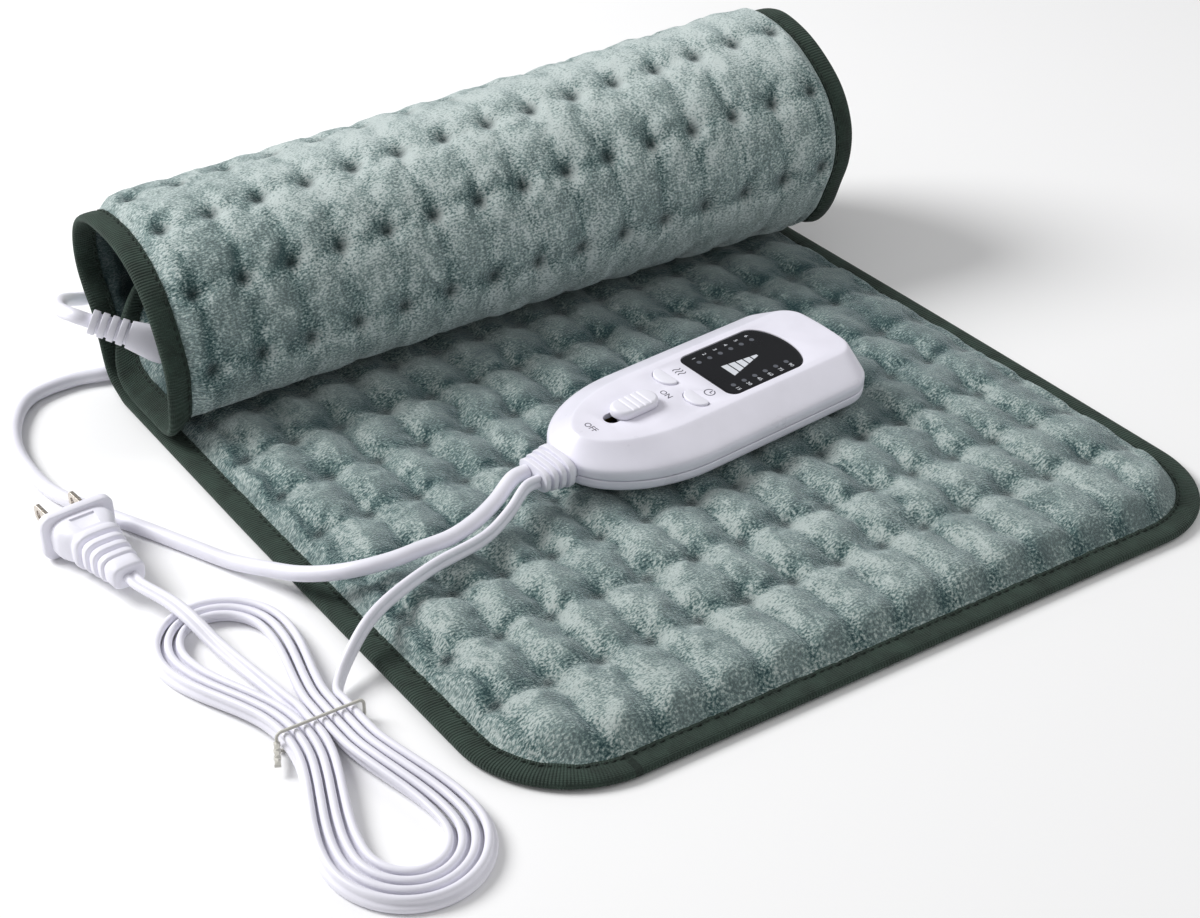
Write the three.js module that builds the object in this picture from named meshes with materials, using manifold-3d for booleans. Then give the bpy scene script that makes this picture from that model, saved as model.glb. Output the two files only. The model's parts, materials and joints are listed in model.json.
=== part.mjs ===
// Heating pad with a hand controller, a round pad cord and a two-blade mains lead.
// Millimetres, +Z up. The pad lies flat, its far end rolled back over itself.
// The origin is the middle of the pad's footprint, on the surface that it lies on.
import * as THREE from 'three';
import { mergeVertices } from 'three/addons/utils/BufferGeometryUtils.js';
import Module from 'manifold-3d';

const wasm = await Module();
wasm.setup();

// Sizes shared by the whole object
const seatGap = 0.3;
const cutOverrun = 1;
const quarterTurn = Math.PI / 2;

// Pad: outline and tufts
const padWidth = 300;
const flatLength = 286;
const padCornerRadius = 40;
const tuftMarginX = 16.7;
const tuftMarginS = 45.3;
const tuftColumns = 15;
const tuftRows = 18;
const hemStation = 18;

// Pad: layers, as heights from the middle surface of the quilt
const faceCrest = 6.6;
const backCrest = 7;
const flatCut = 0.5;
const innerFaceHeight = 1.5;
const innerBackHeight = 1.9;
const clothThickness = 1.2;
const sheetTop = 1.2;
const sheetThickness = 0.8;
const sheetInset = 13;
const wireRadius = 0.7;
const seamOffset = 3;
const borderSlopeShare = 0.2;
const edgeSag = 4.4;
const edgeSagReach = 18;
const seamInnerHeight = 0.2;
const seamClothThickness = 0.8;
const underRollShare = 0.7;
const rollWallShare = 0.82;
const flapShare = 0.68;
const crestDipShare = 0.2;

// Pad: the rolled end, left and right edges. Each point holds shares of the roll's depth
// and height, then 1 where the quilt lies on its own flat part and 0 elsewhere.
const rollDepthLeft = 78;
const rollHeightLeft = 66.5;
const rollDepthRight = 84;
const rollHeightRight = 89;
const layerGap = 2.2;
const flapEase = 2;
const curveSamples = 400;
const rollLeftShares = [
  [0, 0, 0], [0.154, 0.05, 0], [0.218, 0.22, 0], [0.263, 0.376, 0], [0.328, 0.474, 0],
  [0.385, 0.609, 0], [0.385, 0.767, 0], [0.327, 0.895, 0], [0.205, 0.977, 0],
  [0.026, 1, 0], [-0.18, 0.977, 0], [-0.346, 0.895, 0], [-0.468, 0.767, 0],
  [-0.551, 0.609, 0], [-0.609, 0.444, 0], [-0.605, 0.27, 0.1], [-0.572, 0.06, 0.85],
  [-0.487, 0, 1], [-0.359, 0, 1], [-0.24, 0, 1], [-0.135, 0.003, 1], [-0.012, 0.036, 1],
  [0.086, 0.131, 1], [0.14, 0.265, 1], [0.138, 0.414, 1], [0.108, 0.5, 1],
];
const rollRightShares = [
  [0, 0, 0], [0.155, 0.05, 0], [0.25, 0.185, 0], [0.298, 0.376, 0], [0.298, 0.579, 0],
  [0.232, 0.77, 0], [0.095, 0.921, 0], [-0.104, 1, 0], [-0.298, 0.974, 0],
  [-0.476, 0.893, 0], [-0.625, 0.772, 0], [-0.702, 0.618, 0], [-0.7, 0.466, 0],
  [-0.655, 0.33, 0.1], [-0.6, 0.17, 0.4], [-0.53, 0.05, 0.8], [-0.44, 0, 1],
  [-0.3, 0, 1], [-0.167, 0, 1], [-0.02, 0.03, 1], [0.095, 0.12, 1], [0.155, 0.22, 1],
  [0.167, 0.31, 1],
];

// Pad: binding band around the edge
const bandWidth = 7;
const bandThickness = 0.6;
const bandSag = 0.3;
const bandShoulder = 0.8;
const bandThroat = 2;
const edgeClothHeight = seamInnerHeight + seamClothThickness;

// Pad: heating element and thermostats
const wireSides = 5;
const thermostatLength = 15;
const thermostatWidth = 8;
const thermostatHeight = 2.6;
const thermostatPlaceShares = [[0.38, 0.2], [0.62, 0.35]];

// Controller: plan and heights
const handsetHalfWidth = 29.5;
const handsetNose = -65;
const handsetNoseLength = 45;
const handsetEnd = 61;
const handsetCorner = 13;
const handsetBulge = 1.5;
const plateauHalfWidth = 18.5;
const plateauNose = -58.5;
const plateauNoseLength = 38;
const plateauEnd = 59.5;
const plateauCorner = 8;
const plateauRise = 17.2;
const plateauEdge = 0.4;
const plateauEdgeInset = 0.9;
const bottomTaper = 3.2;
const bottomInset = 4.5;
const seamHeight = 6.8;
const shoulderHeight = 11;
const wall = 2;
const shoulderRound = 0.9;
const cavityDropShare = 0.65;
const ceilingThickness = 2.2;
const handsetX = 160;
const handsetY = 137;
const handsetYaw = THREE.MathUtils.degToRad(6);
const handsetTilt = THREE.MathUtils.degToRad(4);

// Controller: window
const windowStart = 0.4;
const windowLength = 41.6;
const windowHalfWidth = 15;
const windowCorner = 4;
const windowShoulderShare = 0.78;
const windowDepth = 1.5;
const windowLedge = 1.6;
const lensRecess = 0.15;

// Controller: slide switch
const knobCentre = -32.4;
const knobLength = 19.2;
const knobWidth = 9.4;
const knobHeight = 3;
const knobTravel = 8;
const knobEdge = 0.8;
const knobGrooves = 3;
const grooveWidth = 1;
const grooveDepth = 0.7;
const groovePitch = 3.6;
const neckLength = 9.6;
const neckWidth = 5.2;
const slotClearance = 0.4;
const leverSide = 3;
const leverPocketDepth = 2.3;
const leverDepth = 2.4;
const shutterLength = 13;
const shutterWidth = 8;
const shutterThickness = 1;
const switchBodyLength = 18;
const switchBodyWidth = 8;
const switchBodyHeight = 4.9;

// Controller: push buttons
const buttonU = -11.6;
const buttonV = 8.2;
const buttonLength = 11;
const buttonDepth = 5.4;
const buttonCorner = 1.4;
const buttonProud = 0.9;
const buttonRim = 1.1;
const buttonFlange = 1;
const buttonClearance = 0.35;
const buttonTravel = 0.6;
const stemRadius = 1.8;
const plungerRadius = 1.5;
const tactSide = 6;
const tactHeight = 3.6;
const plungerDepth = 1.5;
const buttonEdge = 0.4;
const plungerProud = 0.7;

// Controller: board, light frame and electrical parts
const boardStart = -44;
const boardEnd = 46;
const boardHalfWidth = 18;
const boardThickness = 1.6;
const boardSeat = 5.8;
const boardPostRadius = 2.2;
const boardPostU = [-40, 42];
const boardPostV = 13.5;
const boardPegRadius = 0.9;
const boardCorner = 4;
const frameWall = 1;
const frameInset = 1.1;
const ledLength = 1.8;
const ledWidth = 1.1;
const ledHeight = 0.8;
const ledColumns = 6;
const ledPitch = 5.2;
const ledStart = 6;
const ledRows = [-9.6, 0, 9.6];
const ledPlateThickness = 0.5;
const ledPlateMargin = 1.2;
const capacitorSize = [13, 6, 6];
const capacitorPlace = [-31, 12.2];
const triacSize = [14, 8.6, 4.4];
const triacPlace = [-31, -12];
const chipSize = [9, 7, 1.7];
const chipPlace = [14, 4];

// Controller: screws
const screwU = [-50, 52];
const screwVNose = 9.5;
const screwVEnd = 17.5;
const bossRadius = 3.6;
const postRadius = 3.3;
const postBase = 8.4;
const screwRadius = 1.1;
const screwHeadRadius = 2.4;
const screwHeadHeight = 1.6;
const screwSink = 3;
const screwTop = 13;
const screwClearance = 0.35;

// Controller: strain relief at the cord end. Each station holds its distance from the
// controller's centre, its half width and its half height.
const reliefAxis = 7.8;
const reliefFlange = [[58, 8.5, 3.9], [60.2, 8.5, 3.9]];
const reliefNeck = [[60.2, 7.4, 3.4], [65.3, 7.4, 3.4]];
const reliefCollar = [[65.3, 9, 5.7], [67.8, 9, 5.7]];
const reliefRibs = 3;
const reliefRibPitch = 3;
const reliefGrooveDepth = 1.1;
const reliefTaper = 0.45;
const ribGrooveShare = 0.36;
const ovalSides = 14;
const ovalPower = 0.7;
const roundCordSide = 3.2;
const flatCordSide = -3.7;

// Cords
const padCordRadius = 2.7;
const padCordSides = 8;
const padCordSteps = 56;
const flatCordWidth = 5.2;
const flatCordThickness = 2.6;
const flatCordShoulderShare = 0.52;
const flatCordSideShare = 0.4;
const leadSteps = 24;
const tailSteps = 20;

// The pad cord's way from the controller, over the pad's edge, along the table and up
// behind the roll to the boot
const padCordRoute = [
  [66.5, 125.3, 20.5], [56, 120.6, 19.4], [44.4, 117.5, 18.9], [33.4, 118, 18.4],
  [24.4, 118.5, 17.8], [13, 122.6, 16], [5.5, 129.4, 13.2], [-0.8, 138, 10.4],
  [-5.4, 149.6, 7], [-12.3, 165.9, 3.4], [-19.5, 182.3, 2.8], [-27.1, 198.9, 2.8],
  [-36, 217.5, 2.8], [-45.5, 240.6, 2.8], [-46.2, 272.2, 2.8], [-39.5, 292.8, 2.8],
  [-28.2, 307.1, 2.8], [-10.8, 310.7, 2.8], [6, 307, 3.5], [15, 310, 3.5], [30, 314, 3.5],
  [38, 328, 8], [25, 338, 18], [6, 332, 24], [-6, 320, 32], [-13, 303, 38],
];

// The mains lead's ways: over the pad to the hank, and from the hank over its upper loops
// to the plug. The last number of each place is the roll of its wide side, in degrees.
const leadRoute = [
  [68.5, 119.2, 19, 88], [55.8, 113.6, 17, 86], [32.9, 109.5, 16.2, 84],
  [12.8, 103.4, 14.6, 82], [3.6, 99.4, 12.6, 80], [-4.6, 94.6, 9, 78],
  [-12.5, 88.5, 5, 77],
];
const tailRoute = [
  [-31, 90, 4, 66], [-33.5, 106, 4, 40], [-36.5, 125, 4.6, 24], [-39, 140, 7.4, 14],
  [-41, 150, 8.2, 6],
];

// Hank of the mains lead. Lobes hang from the tie at each side of the waist.
const hankCentre = [-27.6, 72.5];
const hankAxisLower = THREE.MathUtils.degToRad(-93);
const hankAxisUpper = THREE.MathUtils.degToRad(94.5);
const hankSlots = 8;
const waistPitch = 3.3;
const waistSplit = 0.25;
const lobePitch = 3.7;
const strandGap = 0.6;
const lowerLobeLength = 82;
const lowerLobeHalfWidth = 23.8;
const lowerLobeEndLength = 26;
const upperLobeLength = 78;
const upperLobeHalfWidth = 21.6;
const upperLobeEndLength = 24;
const lowerLoops = 4;
const upperLoops = 3;
const legSteps = 3;
const bendSteps = 6;
const waistRun = 5;
const hankRest = 0.25;
const waistLift = 1.4;
const tieRadius = 0.55;
const tieMargin = 0.4;
const tieSides = 6;
const tieStripWidth = 2;
const tieStripThickness = 1;
const tieTurns = 1.5;
const tieEnd = [-46.5, 63.5, 3.6];

// Plug: each station holds its distance behind the flange's face, its half width and
// its half height
const plugX = -49.6;
const plugY = 208.5;
const plugYaw = THREE.MathUtils.degToRad(95);
const plugAxisHeight = 8.8;
const flangeWidth = 26.8;
const flangeHeight = 17;
const flangeThickness = 3.6;
const flangeCorner = 4;
const flangeEdge = 0.6;
const plugBody = [
  [3.5, 10.6, 6.4], [5.2, 11.1, 6.9], [9, 10.9, 7], [12.6, 9.4, 6.6], [15, 8, 6.1],
];
const plugCollar = [[15, 8.6, 6.8], [15.8, 9, 7.1], [18.6, 8.5, 6.8]];
const plugRibs = 3;
const plugRibPitch = 4.4;
const plugRibWidth = 7.8;
const plugRibHeight = 6.2;
const plugGrooveDepth = 1.2;
const plugTaper = 0.55;
const plugSleeve = [[31.8, 5.4, 4], [32.8, 6.1, 4.6], [38, 5.9, 4.4], [38.8, 5.3, 3.9]];
const bladeLength = 16;
const bladeHeight = 6.3;
const bladeThickness = 1.5;
const bladeSpacing = 12.7;
const bladeHoleRadius = 1.55;
const bladeHoleFromTip = 3.2;
const bladeRoot = 6;
const bladeTipChamfer = 1.4;
const panelLength = 7.5;
const panelWidth = 10;
const panelDepth = 0.7;
const panelStart = 6;

// Pad cord boot: each station holds its distance from the root, its half width and its
// half height
const bootRoot = [14, 268.5, 29.2];
const bootTip = [-12, 286, 42];
const bootBase = [[0, 6, 3], [1, 6.6, 3.6], [4, 6.8, 4.2], [15, 5.2, 4.7]];
const bootRibs = 4;
const bootRibPitch = 3.6;
const bootRibRadius = 5;
const bootGrooveDepth = 1;
const bootTaper = 0.15;

// Materials
const finish = (color, roughness, metalness = 0) =>
  new THREE.MeshStandardMaterial({ color, roughness, metalness });
const velvet = finish(0x7e9690, 0.95);
const velvetBack = finish(0x738b85, 0.95);
const bandCloth = finish(0x3d4a41, 0.9);
const feltCloth = finish(0xd9d8d0, 0.95);
const heaterSleeve = finish(0xb9a98c, 0.6);
const shellPlastic = finish(0xe3e0ee, 0.35);
const softPlastic = finish(0xe6e4f0, 0.5);
const lensPlastic = finish(0x15161c, 0.12);
const darkPlastic = finish(0x2b2b2f, 0.5);
const boardGreen = finish(0x2f6b47, 0.5);
const switchPlastic = finish(0x3a3a3e, 0.5);
const ledEpoxy = finish(0xf2efe2, 0.3);
const plungerPlastic = finish(0xc23b32, 0.4);
const capPlastic = finish(0xe0b13a, 0.45);
const steel = finish(0xb9bbbf, 0.3, 1);
const bladeMetal = finish(0xcfc8bd, 0.28, 1);
const tieSleeve = finish(0xb8b6ae, 0.6);

// Closed meshes and booleans
function closed(geometry) {
  const bare = geometry.index ? geometry.toNonIndexed() : geometry.clone();
  for (const name of Object.keys(bare.attributes)) {
    if (name !== 'position') bare.deleteAttribute(name);
  }
  return mergeVertices(bare, 1e-4);
}

function solid(geometry) {
  const merged = closed(geometry);
  return new wasm.Manifold(new wasm.Mesh({
    numProp: 3,
    vertProperties: new Float32Array(merged.attributes.position.array),
    triVerts: new Uint32Array(merged.index.array),
  }));
}

function geometryOf(manifold) {
  const mesh = manifold.getMesh();
  const geometry = new THREE.BufferGeometry();
  geometry.setAttribute('position', new THREE.BufferAttribute(mesh.vertProperties, 3));
  geometry.setIndex(new THREE.BufferAttribute(mesh.triVerts, 1));
  return geometry;
}

function fromTriangles(points, triangles) {
  const geometry = new THREE.BufferGeometry();
  geometry.setAttribute('position',
    new THREE.Float32BufferAttribute(points.flatMap((p) => [p.x, p.y, p.z]), 3));
  geometry.setIndex(triangles.flat());
  return geometry;
}

function part(name, geometry, material) {
  const mesh = new THREE.Mesh(geometry, material);
  mesh.name = name;
  return mesh;
}

// Rings of equal count joined into a closed body. Rings run anticlockwise when seen
// from the far end of the sweep.
function loft(rings) {
  const count = rings[0].length;
  const points = rings.flat();
  const triangles = [];
  for (let r = 0; r < rings.length - 1; r += 1) {
    for (let i = 0; i < count; i += 1) {
      const a = r * count + i;
      const b = r * count + ((i + 1) % count);
      triangles.push([a, b, b + count], [a, b + count, a + count]);
    }
  }
  const last = (rings.length - 1) * count;
  for (let i = 1; i < count - 1; i += 1) {
    triangles.push([0, i + 1, i]);
    triangles.push([last, last + i, last + i + 1]);
  }
  return fromTriangles(points, triangles);
}

function closedLoft(rings) {
  const count = rings[0].length;
  const triangles = [];
  rings.forEach((ring, r) => {
    const next = (r + 1) % rings.length;
    for (let i = 0; i < count; i += 1) {
      const j = (i + 1) % count;
      triangles.push([r * count + i, r * count + j, next * count + j]);
      triangles.push([r * count + i, next * count + j, next * count + i]);
    }
  });
  return fromTriangles(rings.flat(), triangles);
}

function block(lengthX, lengthY, low, high, x = 0, y = 0) {
  const geometry = new THREE.BoxGeometry(lengthX, lengthY, high - low);
  return geometry.translate(x, y, (low + high) / 2);
}

function disc(radius, low, high, x = 0, y = 0, sides = 16) {
  const geometry = new THREE.CylinderGeometry(radius, radius, high - low, sides);
  return geometry.rotateX(quarterTurn).translate(x, y, (low + high) / 2);
}

function slab(shape, low, high, segments = 6) {
  const geometry = new THREE.ExtrudeGeometry(shape, {
    depth: high - low, bevelEnabled: false, curveSegments: segments,
  });
  return geometry.translate(0, 0, low);
}

function capsuleShape(length, width, x = 0, y = 0) {
  const radius = width / 2;
  const run = length / 2 - radius;
  const shape = new THREE.Shape();
  shape.absarc(x + run, y, radius, -quarterTurn, quarterTurn);
  shape.absarc(x - run, y, radius, quarterTurn, 3 * quarterTurn);
  shape.closePath();
  return shape;
}

// Pad: the middle surface
const padMid = backCrest - flatCut;
const flapLift = faceCrest * underRollShare + backCrest * flapShare + layerGap;

function rollCurve(shares, depth, height) {
  const points = shares.map(([along, up, lift]) =>
    new THREE.Vector3(0, flatLength + along * depth, padMid + up * height + lift * flapLift));
  const curve = new THREE.CatmullRomCurve3(points, false, 'centripetal');
  curve.arcLengthDivisions = curveSamples;
  return curve;
}

const leftRoll = rollCurve(rollLeftShares, rollDepthLeft, rollHeightLeft);
const rightRoll = rollCurve(rollRightShares, rollDepthRight, rollHeightRight);
const rolledLength = (leftRoll.getLength() + rightRoll.getLength()) / 2;
const padLength = flatLength + rolledLength;
const rowPitch = (padLength - 2 * tuftMarginS) / (tuftRows - 1);
const columnPitch = (padWidth - 2 * tuftMarginX) / (tuftColumns - 1);

function edgePoint(curve, s) {
  if (s <= flatLength) return new THREE.Vector3(0, s, padMid);
  return curve.getPointAt(Math.min((s - flatLength) / rolledLength, 1));
}

function midPoint(x, s) {
  const left = edgePoint(leftRoll, s);
  const right = edgePoint(rightRoll, s);
  const point = left.lerp(right, x / padWidth);
  point.x = x;
  return point;
}

const normalStep = 2;
function faceNormal(x, s) {
  const before = midPoint(x, Math.max(s - normalStep, 0));
  const after = midPoint(x, Math.min(s + normalStep, padLength));
  const run = after.sub(before).normalize();
  return new THREE.Vector3(0, -run.z, run.y);
}

// Stations along the pad, so that all layers bend at the same lines
const halfRow = rowPitch / 2;
const firstStation = tuftMarginS - halfRow;
const bends = Array.from({ length: 2 * tuftRows + 1 }, (_, j) => firstStation + j * halfRow);
bends.push(padLength - hemStation, padLength);

// The thin seamed edge of the flat part sags to the table, and rises with the roll's wall
function sagDrop(x, s) {
  const inwards = edgeSagReach - Math.max(edgeDistance(x, s), seamOffset);
  const lifted = Math.min(Math.max((s - flatLength) / rowPitch, 0), 1);
  return (edgeSag * Math.max(inwards, 0) * (1 - lifted)) / (edgeSagReach - seamOffset);
}

function stationPoint(x, s, height) {
  const point = midPoint(x, s).addScaledVector(faceNormal(x, s), height);
  point.z -= sagDrop(x, s);
  return point;
}

function padPoint(x, s, height) {
  const next = bends.findIndex((bend) => bend >= s);
  if (next <= 0) return stationPoint(x, s, height);
  const low = bends[next - 1];
  const blend = (s - low) / (bends[next] - low);
  return stationPoint(x, low, height).lerp(stationPoint(x, bends[next], height), blend);
}

// How far a point lies inside the pad's rounded outline
function edgeDistance(x, s) {
  const fromX = Math.min(x, padWidth - x);
  const fromS = Math.min(s, padLength - s);
  if (fromX >= padCornerRadius || fromS >= padCornerRadius) return Math.min(fromX, fromS);
  return padCornerRadius - Math.hypot(padCornerRadius - fromX, padCornerRadius - fromS);
}

// The quilt is pressed thinner where it lies under and inside its own roll
function fullness(x, s) {
  const turn = flatLength - rollDepthLeft / 2;
  const stops = [
    [turn - 2 * halfRow, 1], [turn, underRollShare], [flatLength + halfRow, underRollShare],
    [flatLength + 3 * halfRow, rollWallShare], [padLength - 9 * halfRow, rollWallShare],
    [padLength - 7 * halfRow, flapShare],
  ];
  if (s <= stops[0][0]) return stops[0][1];
  for (let i = 1; i < stops.length; i += 1) {
    const [from, a] = stops[i - 1];
    const [to, b] = stops[i];
    if (s <= to) return a + ((b - a) * (s - from)) / (to - from);
  }
  return flapShare;
}

// One tufted cover: rows of points at the tufts and at the crests between them. The face
// swells to a crest between each four tufts. The back is pressed to a flat diamond there,
// which is what the pad lies on.
function tuftedCover(side) {
  const crest = side > 0 ? faceCrest : backCrest;
  const inner = side > 0 ? innerFaceHeight : innerBackHeight;
  const tuft = inner + clothThickness;
  const points = [];
  const triangles = [];
  const lastColumn = 2 * (tuftColumns - 1);
  const columnX = (i) => tuftMarginX + (i * columnPitch) / 2;

  function outerHeight(x, s, isTuft, isRidge) {
    if (isTuft) return tuft;
    const dip = isRidge && side > 0 ? crestDipShare : 0;
    const full = tuft + (crest - tuft) * fullness(x, s) * (1 - dip);
    const ease = s > padLength - 2 * tuftMarginS ? flapEase : 0;
    const rise = edgeClothHeight + (edgeDistance(x, s) - seamOffset) * borderSlopeShare - ease;
    return Math.min(full, rise);
  }

  function add(x, s, height) {
    const point = padPoint(x, s, side * height);
    if (side < 0) point.z = Math.max(point.z, 0);
    points.push(point);
    return points.length - 1;
  }

  // Rows of the outer surface, each a list of x and point number
  const rows = [];
  const stationCount = 2 * tuftRows + 1;
  const stations = [hemStation];
  for (let j = 0; j < stationCount; j += 1) stations.push(firstStation + j * halfRow);
  stations.push(padLength - hemStation);
  stations.forEach((s, j) => {
    const isTuftRow = j >= 2 && j < stations.length - 2 && j % 2 === 0;
    const row = [];
    for (let i = 0; i <= lastColumn; i += 1) {
      const isEnd = i === 0 || i === lastColumn;
      if (!isTuftRow && i % 2 === (side > 0 ? 0 : 1) && !isEnd) continue;
      const height = outerHeight(columnX(i), s, isTuftRow && i % 2 === 0, isTuftRow);
      row.push({ x: columnX(i), id: add(columnX(i), s, height) });
    }
    rows.push(row);
  });

  function zip(low, high, flip) {
    let a = 0;
    let b = 0;
    while (a < low.length - 1 || b < high.length - 1) {
      const ahead = a < low.length - 1 && b < high.length - 1 ? high[b + 1].x - low[a + 1].x : 0;
      const stepLow = b === high.length - 1
        || (a < low.length - 1 && (ahead > 1e-6 || (ahead > -1e-6 && low.length <= high.length)));
      const triangle = stepLow
        ? [low[a].id, low[a + 1].id, high[b].id]
        : [low[a].id, high[b + 1].id, high[b].id];
      if (stepLow) a += 1;
      else b += 1;
      triangles.push(flip ? [triangle[0], triangle[2], triangle[1]] : triangle);
    }
  }
  for (let j = 0; j < rows.length - 1; j += 1) zip(rows[j], rows[j + 1], side < 0);

  // The outline of the outer grid, and where each of its points meets the seam
  const ring = [];
  const lastRow = rows.length - 1;
  const pushRing = (j, i) => ring.push({ id: rows[j][i].id, x: rows[j][i].x, s: stations[j] });
  for (let i = 0; i < rows[0].length; i += 1) pushRing(0, i);
  for (let j = 1; j < lastRow; j += 1) pushRing(j, rows[j].length - 1);
  for (let i = rows[lastRow].length - 1; i >= 0; i -= 1) pushRing(lastRow, i);
  for (let j = lastRow - 1; j > 0; j -= 1) pushRing(j, 0);
  const seam = ring.map((place) => seamPlace(place.x, place.s, seamOffset));
  const outerSeam = seam.map(([x, s]) => add(x, s, edgeClothHeight));
  const innerSeam = seam.map(([x, s]) => add(x, s, seamInnerHeight));
  const count = ring.length;
  for (let i = 0; i < count; i += 1) {
    const j = (i + 1) % count;
    const strip = [
      [outerSeam[i], outerSeam[j], ring[j].id], [outerSeam[i], ring[j].id, ring[i].id],
      [innerSeam[i], innerSeam[j], outerSeam[j]], [innerSeam[i], outerSeam[j], outerSeam[i]],
    ];
    strip.forEach((t) => triangles.push(side < 0 ? [t[0], t[2], t[1]] : t));
  }

  // The inner surface: straight across the flat part, with columns where it is rolled
  const perRow = rows[0].length;
  const sideCount = lastRow - 1;
  const innerRows = [];
  const firstRow = [];
  const endCount = perRow;
  for (let i = 0; i < endCount; i += 1) firstRow.push({ x: seam[i][0], id: innerSeam[i] });
  innerRows.push(firstRow);
  for (let j = 1; j < lastRow; j += 1) {
    const right = perRow + j - 1;
    const left = count - j;
    const row = [{ x: seam[left][0], id: innerSeam[left] }];
    innerColumns(stations[j]).forEach((share) => {
      const x = share * padWidth;
      row.push({ x, id: add(x, stations[j], inner) });
    });
    row.push({ x: seam[right][0], id: innerSeam[right] });
    innerRows.push(row);
  }
  const lastEnd = [];
  for (let i = 0; i < endCount; i += 1) {
    const place = perRow + sideCount + (endCount - 1 - i);
    lastEnd.push({ x: seam[place][0], id: innerSeam[place] });
  }
  innerRows.push(lastEnd);
  for (let j = 0; j < innerRows.length - 1; j += 1) zip(innerRows[j], innerRows[j + 1], side > 0);
  return fromTriangles(points, triangles);
}

const sheetShare = sheetInset / padWidth;
const sagShare = edgeSagReach / padWidth;
const cornerShare = padCornerRadius / padWidth;
const edgeColumnShares = [sheetShare, sagShare, 1 - sagShare, 1 - sheetShare];
const cornerColumnShares = [
  sheetShare, sagShare, cornerShare, 1 - cornerShare, 1 - sagShare, 1 - sheetShare,
];
const innerColumnShares = [sheetShare, sagShare, 0.25, 0.5, 0.75, 1 - sagShare, 1 - sheetShare];
const bandPlaceShares = [0.25, 0.5, 0.75];

function innerColumns(s) {
  if (s < padCornerRadius) return cornerColumnShares;
  return s > flatLength - halfRow ? innerColumnShares : edgeColumnShares;
}

// The place on a line parallel to the pad's outline that faces a point of the tuft grid
function seamPlace(x, s, offset) {
  const fromLeft = x < padWidth / 2;
  const fromFront = s < padLength / 2;
  const u = fromLeft ? x : padWidth - x;
  const v = fromFront ? s : padLength - s;
  let place;
  if (u >= padCornerRadius) place = [u, offset];
  else if (v >= padCornerRadius) place = [offset, v];
  else {
    const count = cornerStep(u, v);
    const angle = (count * quarterTurn) / 4;
    const reach = padCornerRadius - offset;
    place = [
      padCornerRadius - reach * Math.cos(angle), padCornerRadius - reach * Math.sin(angle),
    ];
  }
  return [
    fromLeft ? place[0] : padWidth - place[0],
    fromFront ? place[1] : padLength - place[1],
  ];
}

// Which quarter of the corner's arc a grid point faces
function cornerStep(u, v) {
  if (v > hemStation + 1e-3) return 1;
  if (u > tuftMarginX + 1e-3) return 3;
  return 2;
}

// Edge binding: one folded band, closed around the pad's outline
function edgeBinding() {
  const jaw = edgeClothHeight + (bandWidth - seamOffset) * borderSlopeShare + bandSag;
  const mouth = edgeClothHeight + bandSag;
  const section = [
    [bandWidth, jaw + bandThickness], [bandShoulder, mouth + bandThickness],
    [0, mouth / 2], [0, -mouth / 2], [bandShoulder, -mouth - bandThickness],
    [bandWidth, -jaw - bandThickness], [bandWidth, -jaw], [bandThroat, -mouth],
    [bandThroat, mouth], [bandWidth, jaw],
  ];
  const places = [];
  const along = [];
  for (let s = tuftMarginS; s <= padLength - tuftMarginS + 1e-6; s += halfRow) {
    if (s <= tuftMarginS + 1e-6 || s > flatLength - rollDepthLeft) along.push(s);
  }
  const besideCorner = tuftMarginX + 1.5 * columnPitch;
  const middle = bandPlaceShares.map((share) => share * padWidth);
  const across = [besideCorner, ...middle, padWidth - besideCorner];
  const corner = [[tuftMarginX, firstStation], [tuftMarginX, hemStation],
    [tuftMarginX + columnPitch / 2, hemStation]];
  const mirrorX = ([x, s]) => [padWidth - x, s];
  const mirrorS = ([x, s]) => [x, padLength - s];
  corner.forEach((p) => places.push(p));
  across.forEach((x) => places.push([x, hemStation]));
  [...corner].reverse().forEach((p) => places.push(mirrorX(p)));
  along.forEach((s) => places.push([padWidth - tuftMarginX, s]));
  corner.forEach((p) => places.push(mirrorS(mirrorX(p))));
  [...across].reverse().forEach((x) => places.push([x, padLength - hemStation]));
  [...corner].reverse().forEach((p) => places.push(mirrorS(p)));
  [...along].reverse().forEach((s) => places.push([tuftMarginX, s]));
  const rings = places.map(([x, s]) => section.map(([offset, height]) => {
    const [px, ps] = seamPlace(x, s, offset);
    return padPoint(px, ps, height);
  }));
  return closedLoft(rings);
}

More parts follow.
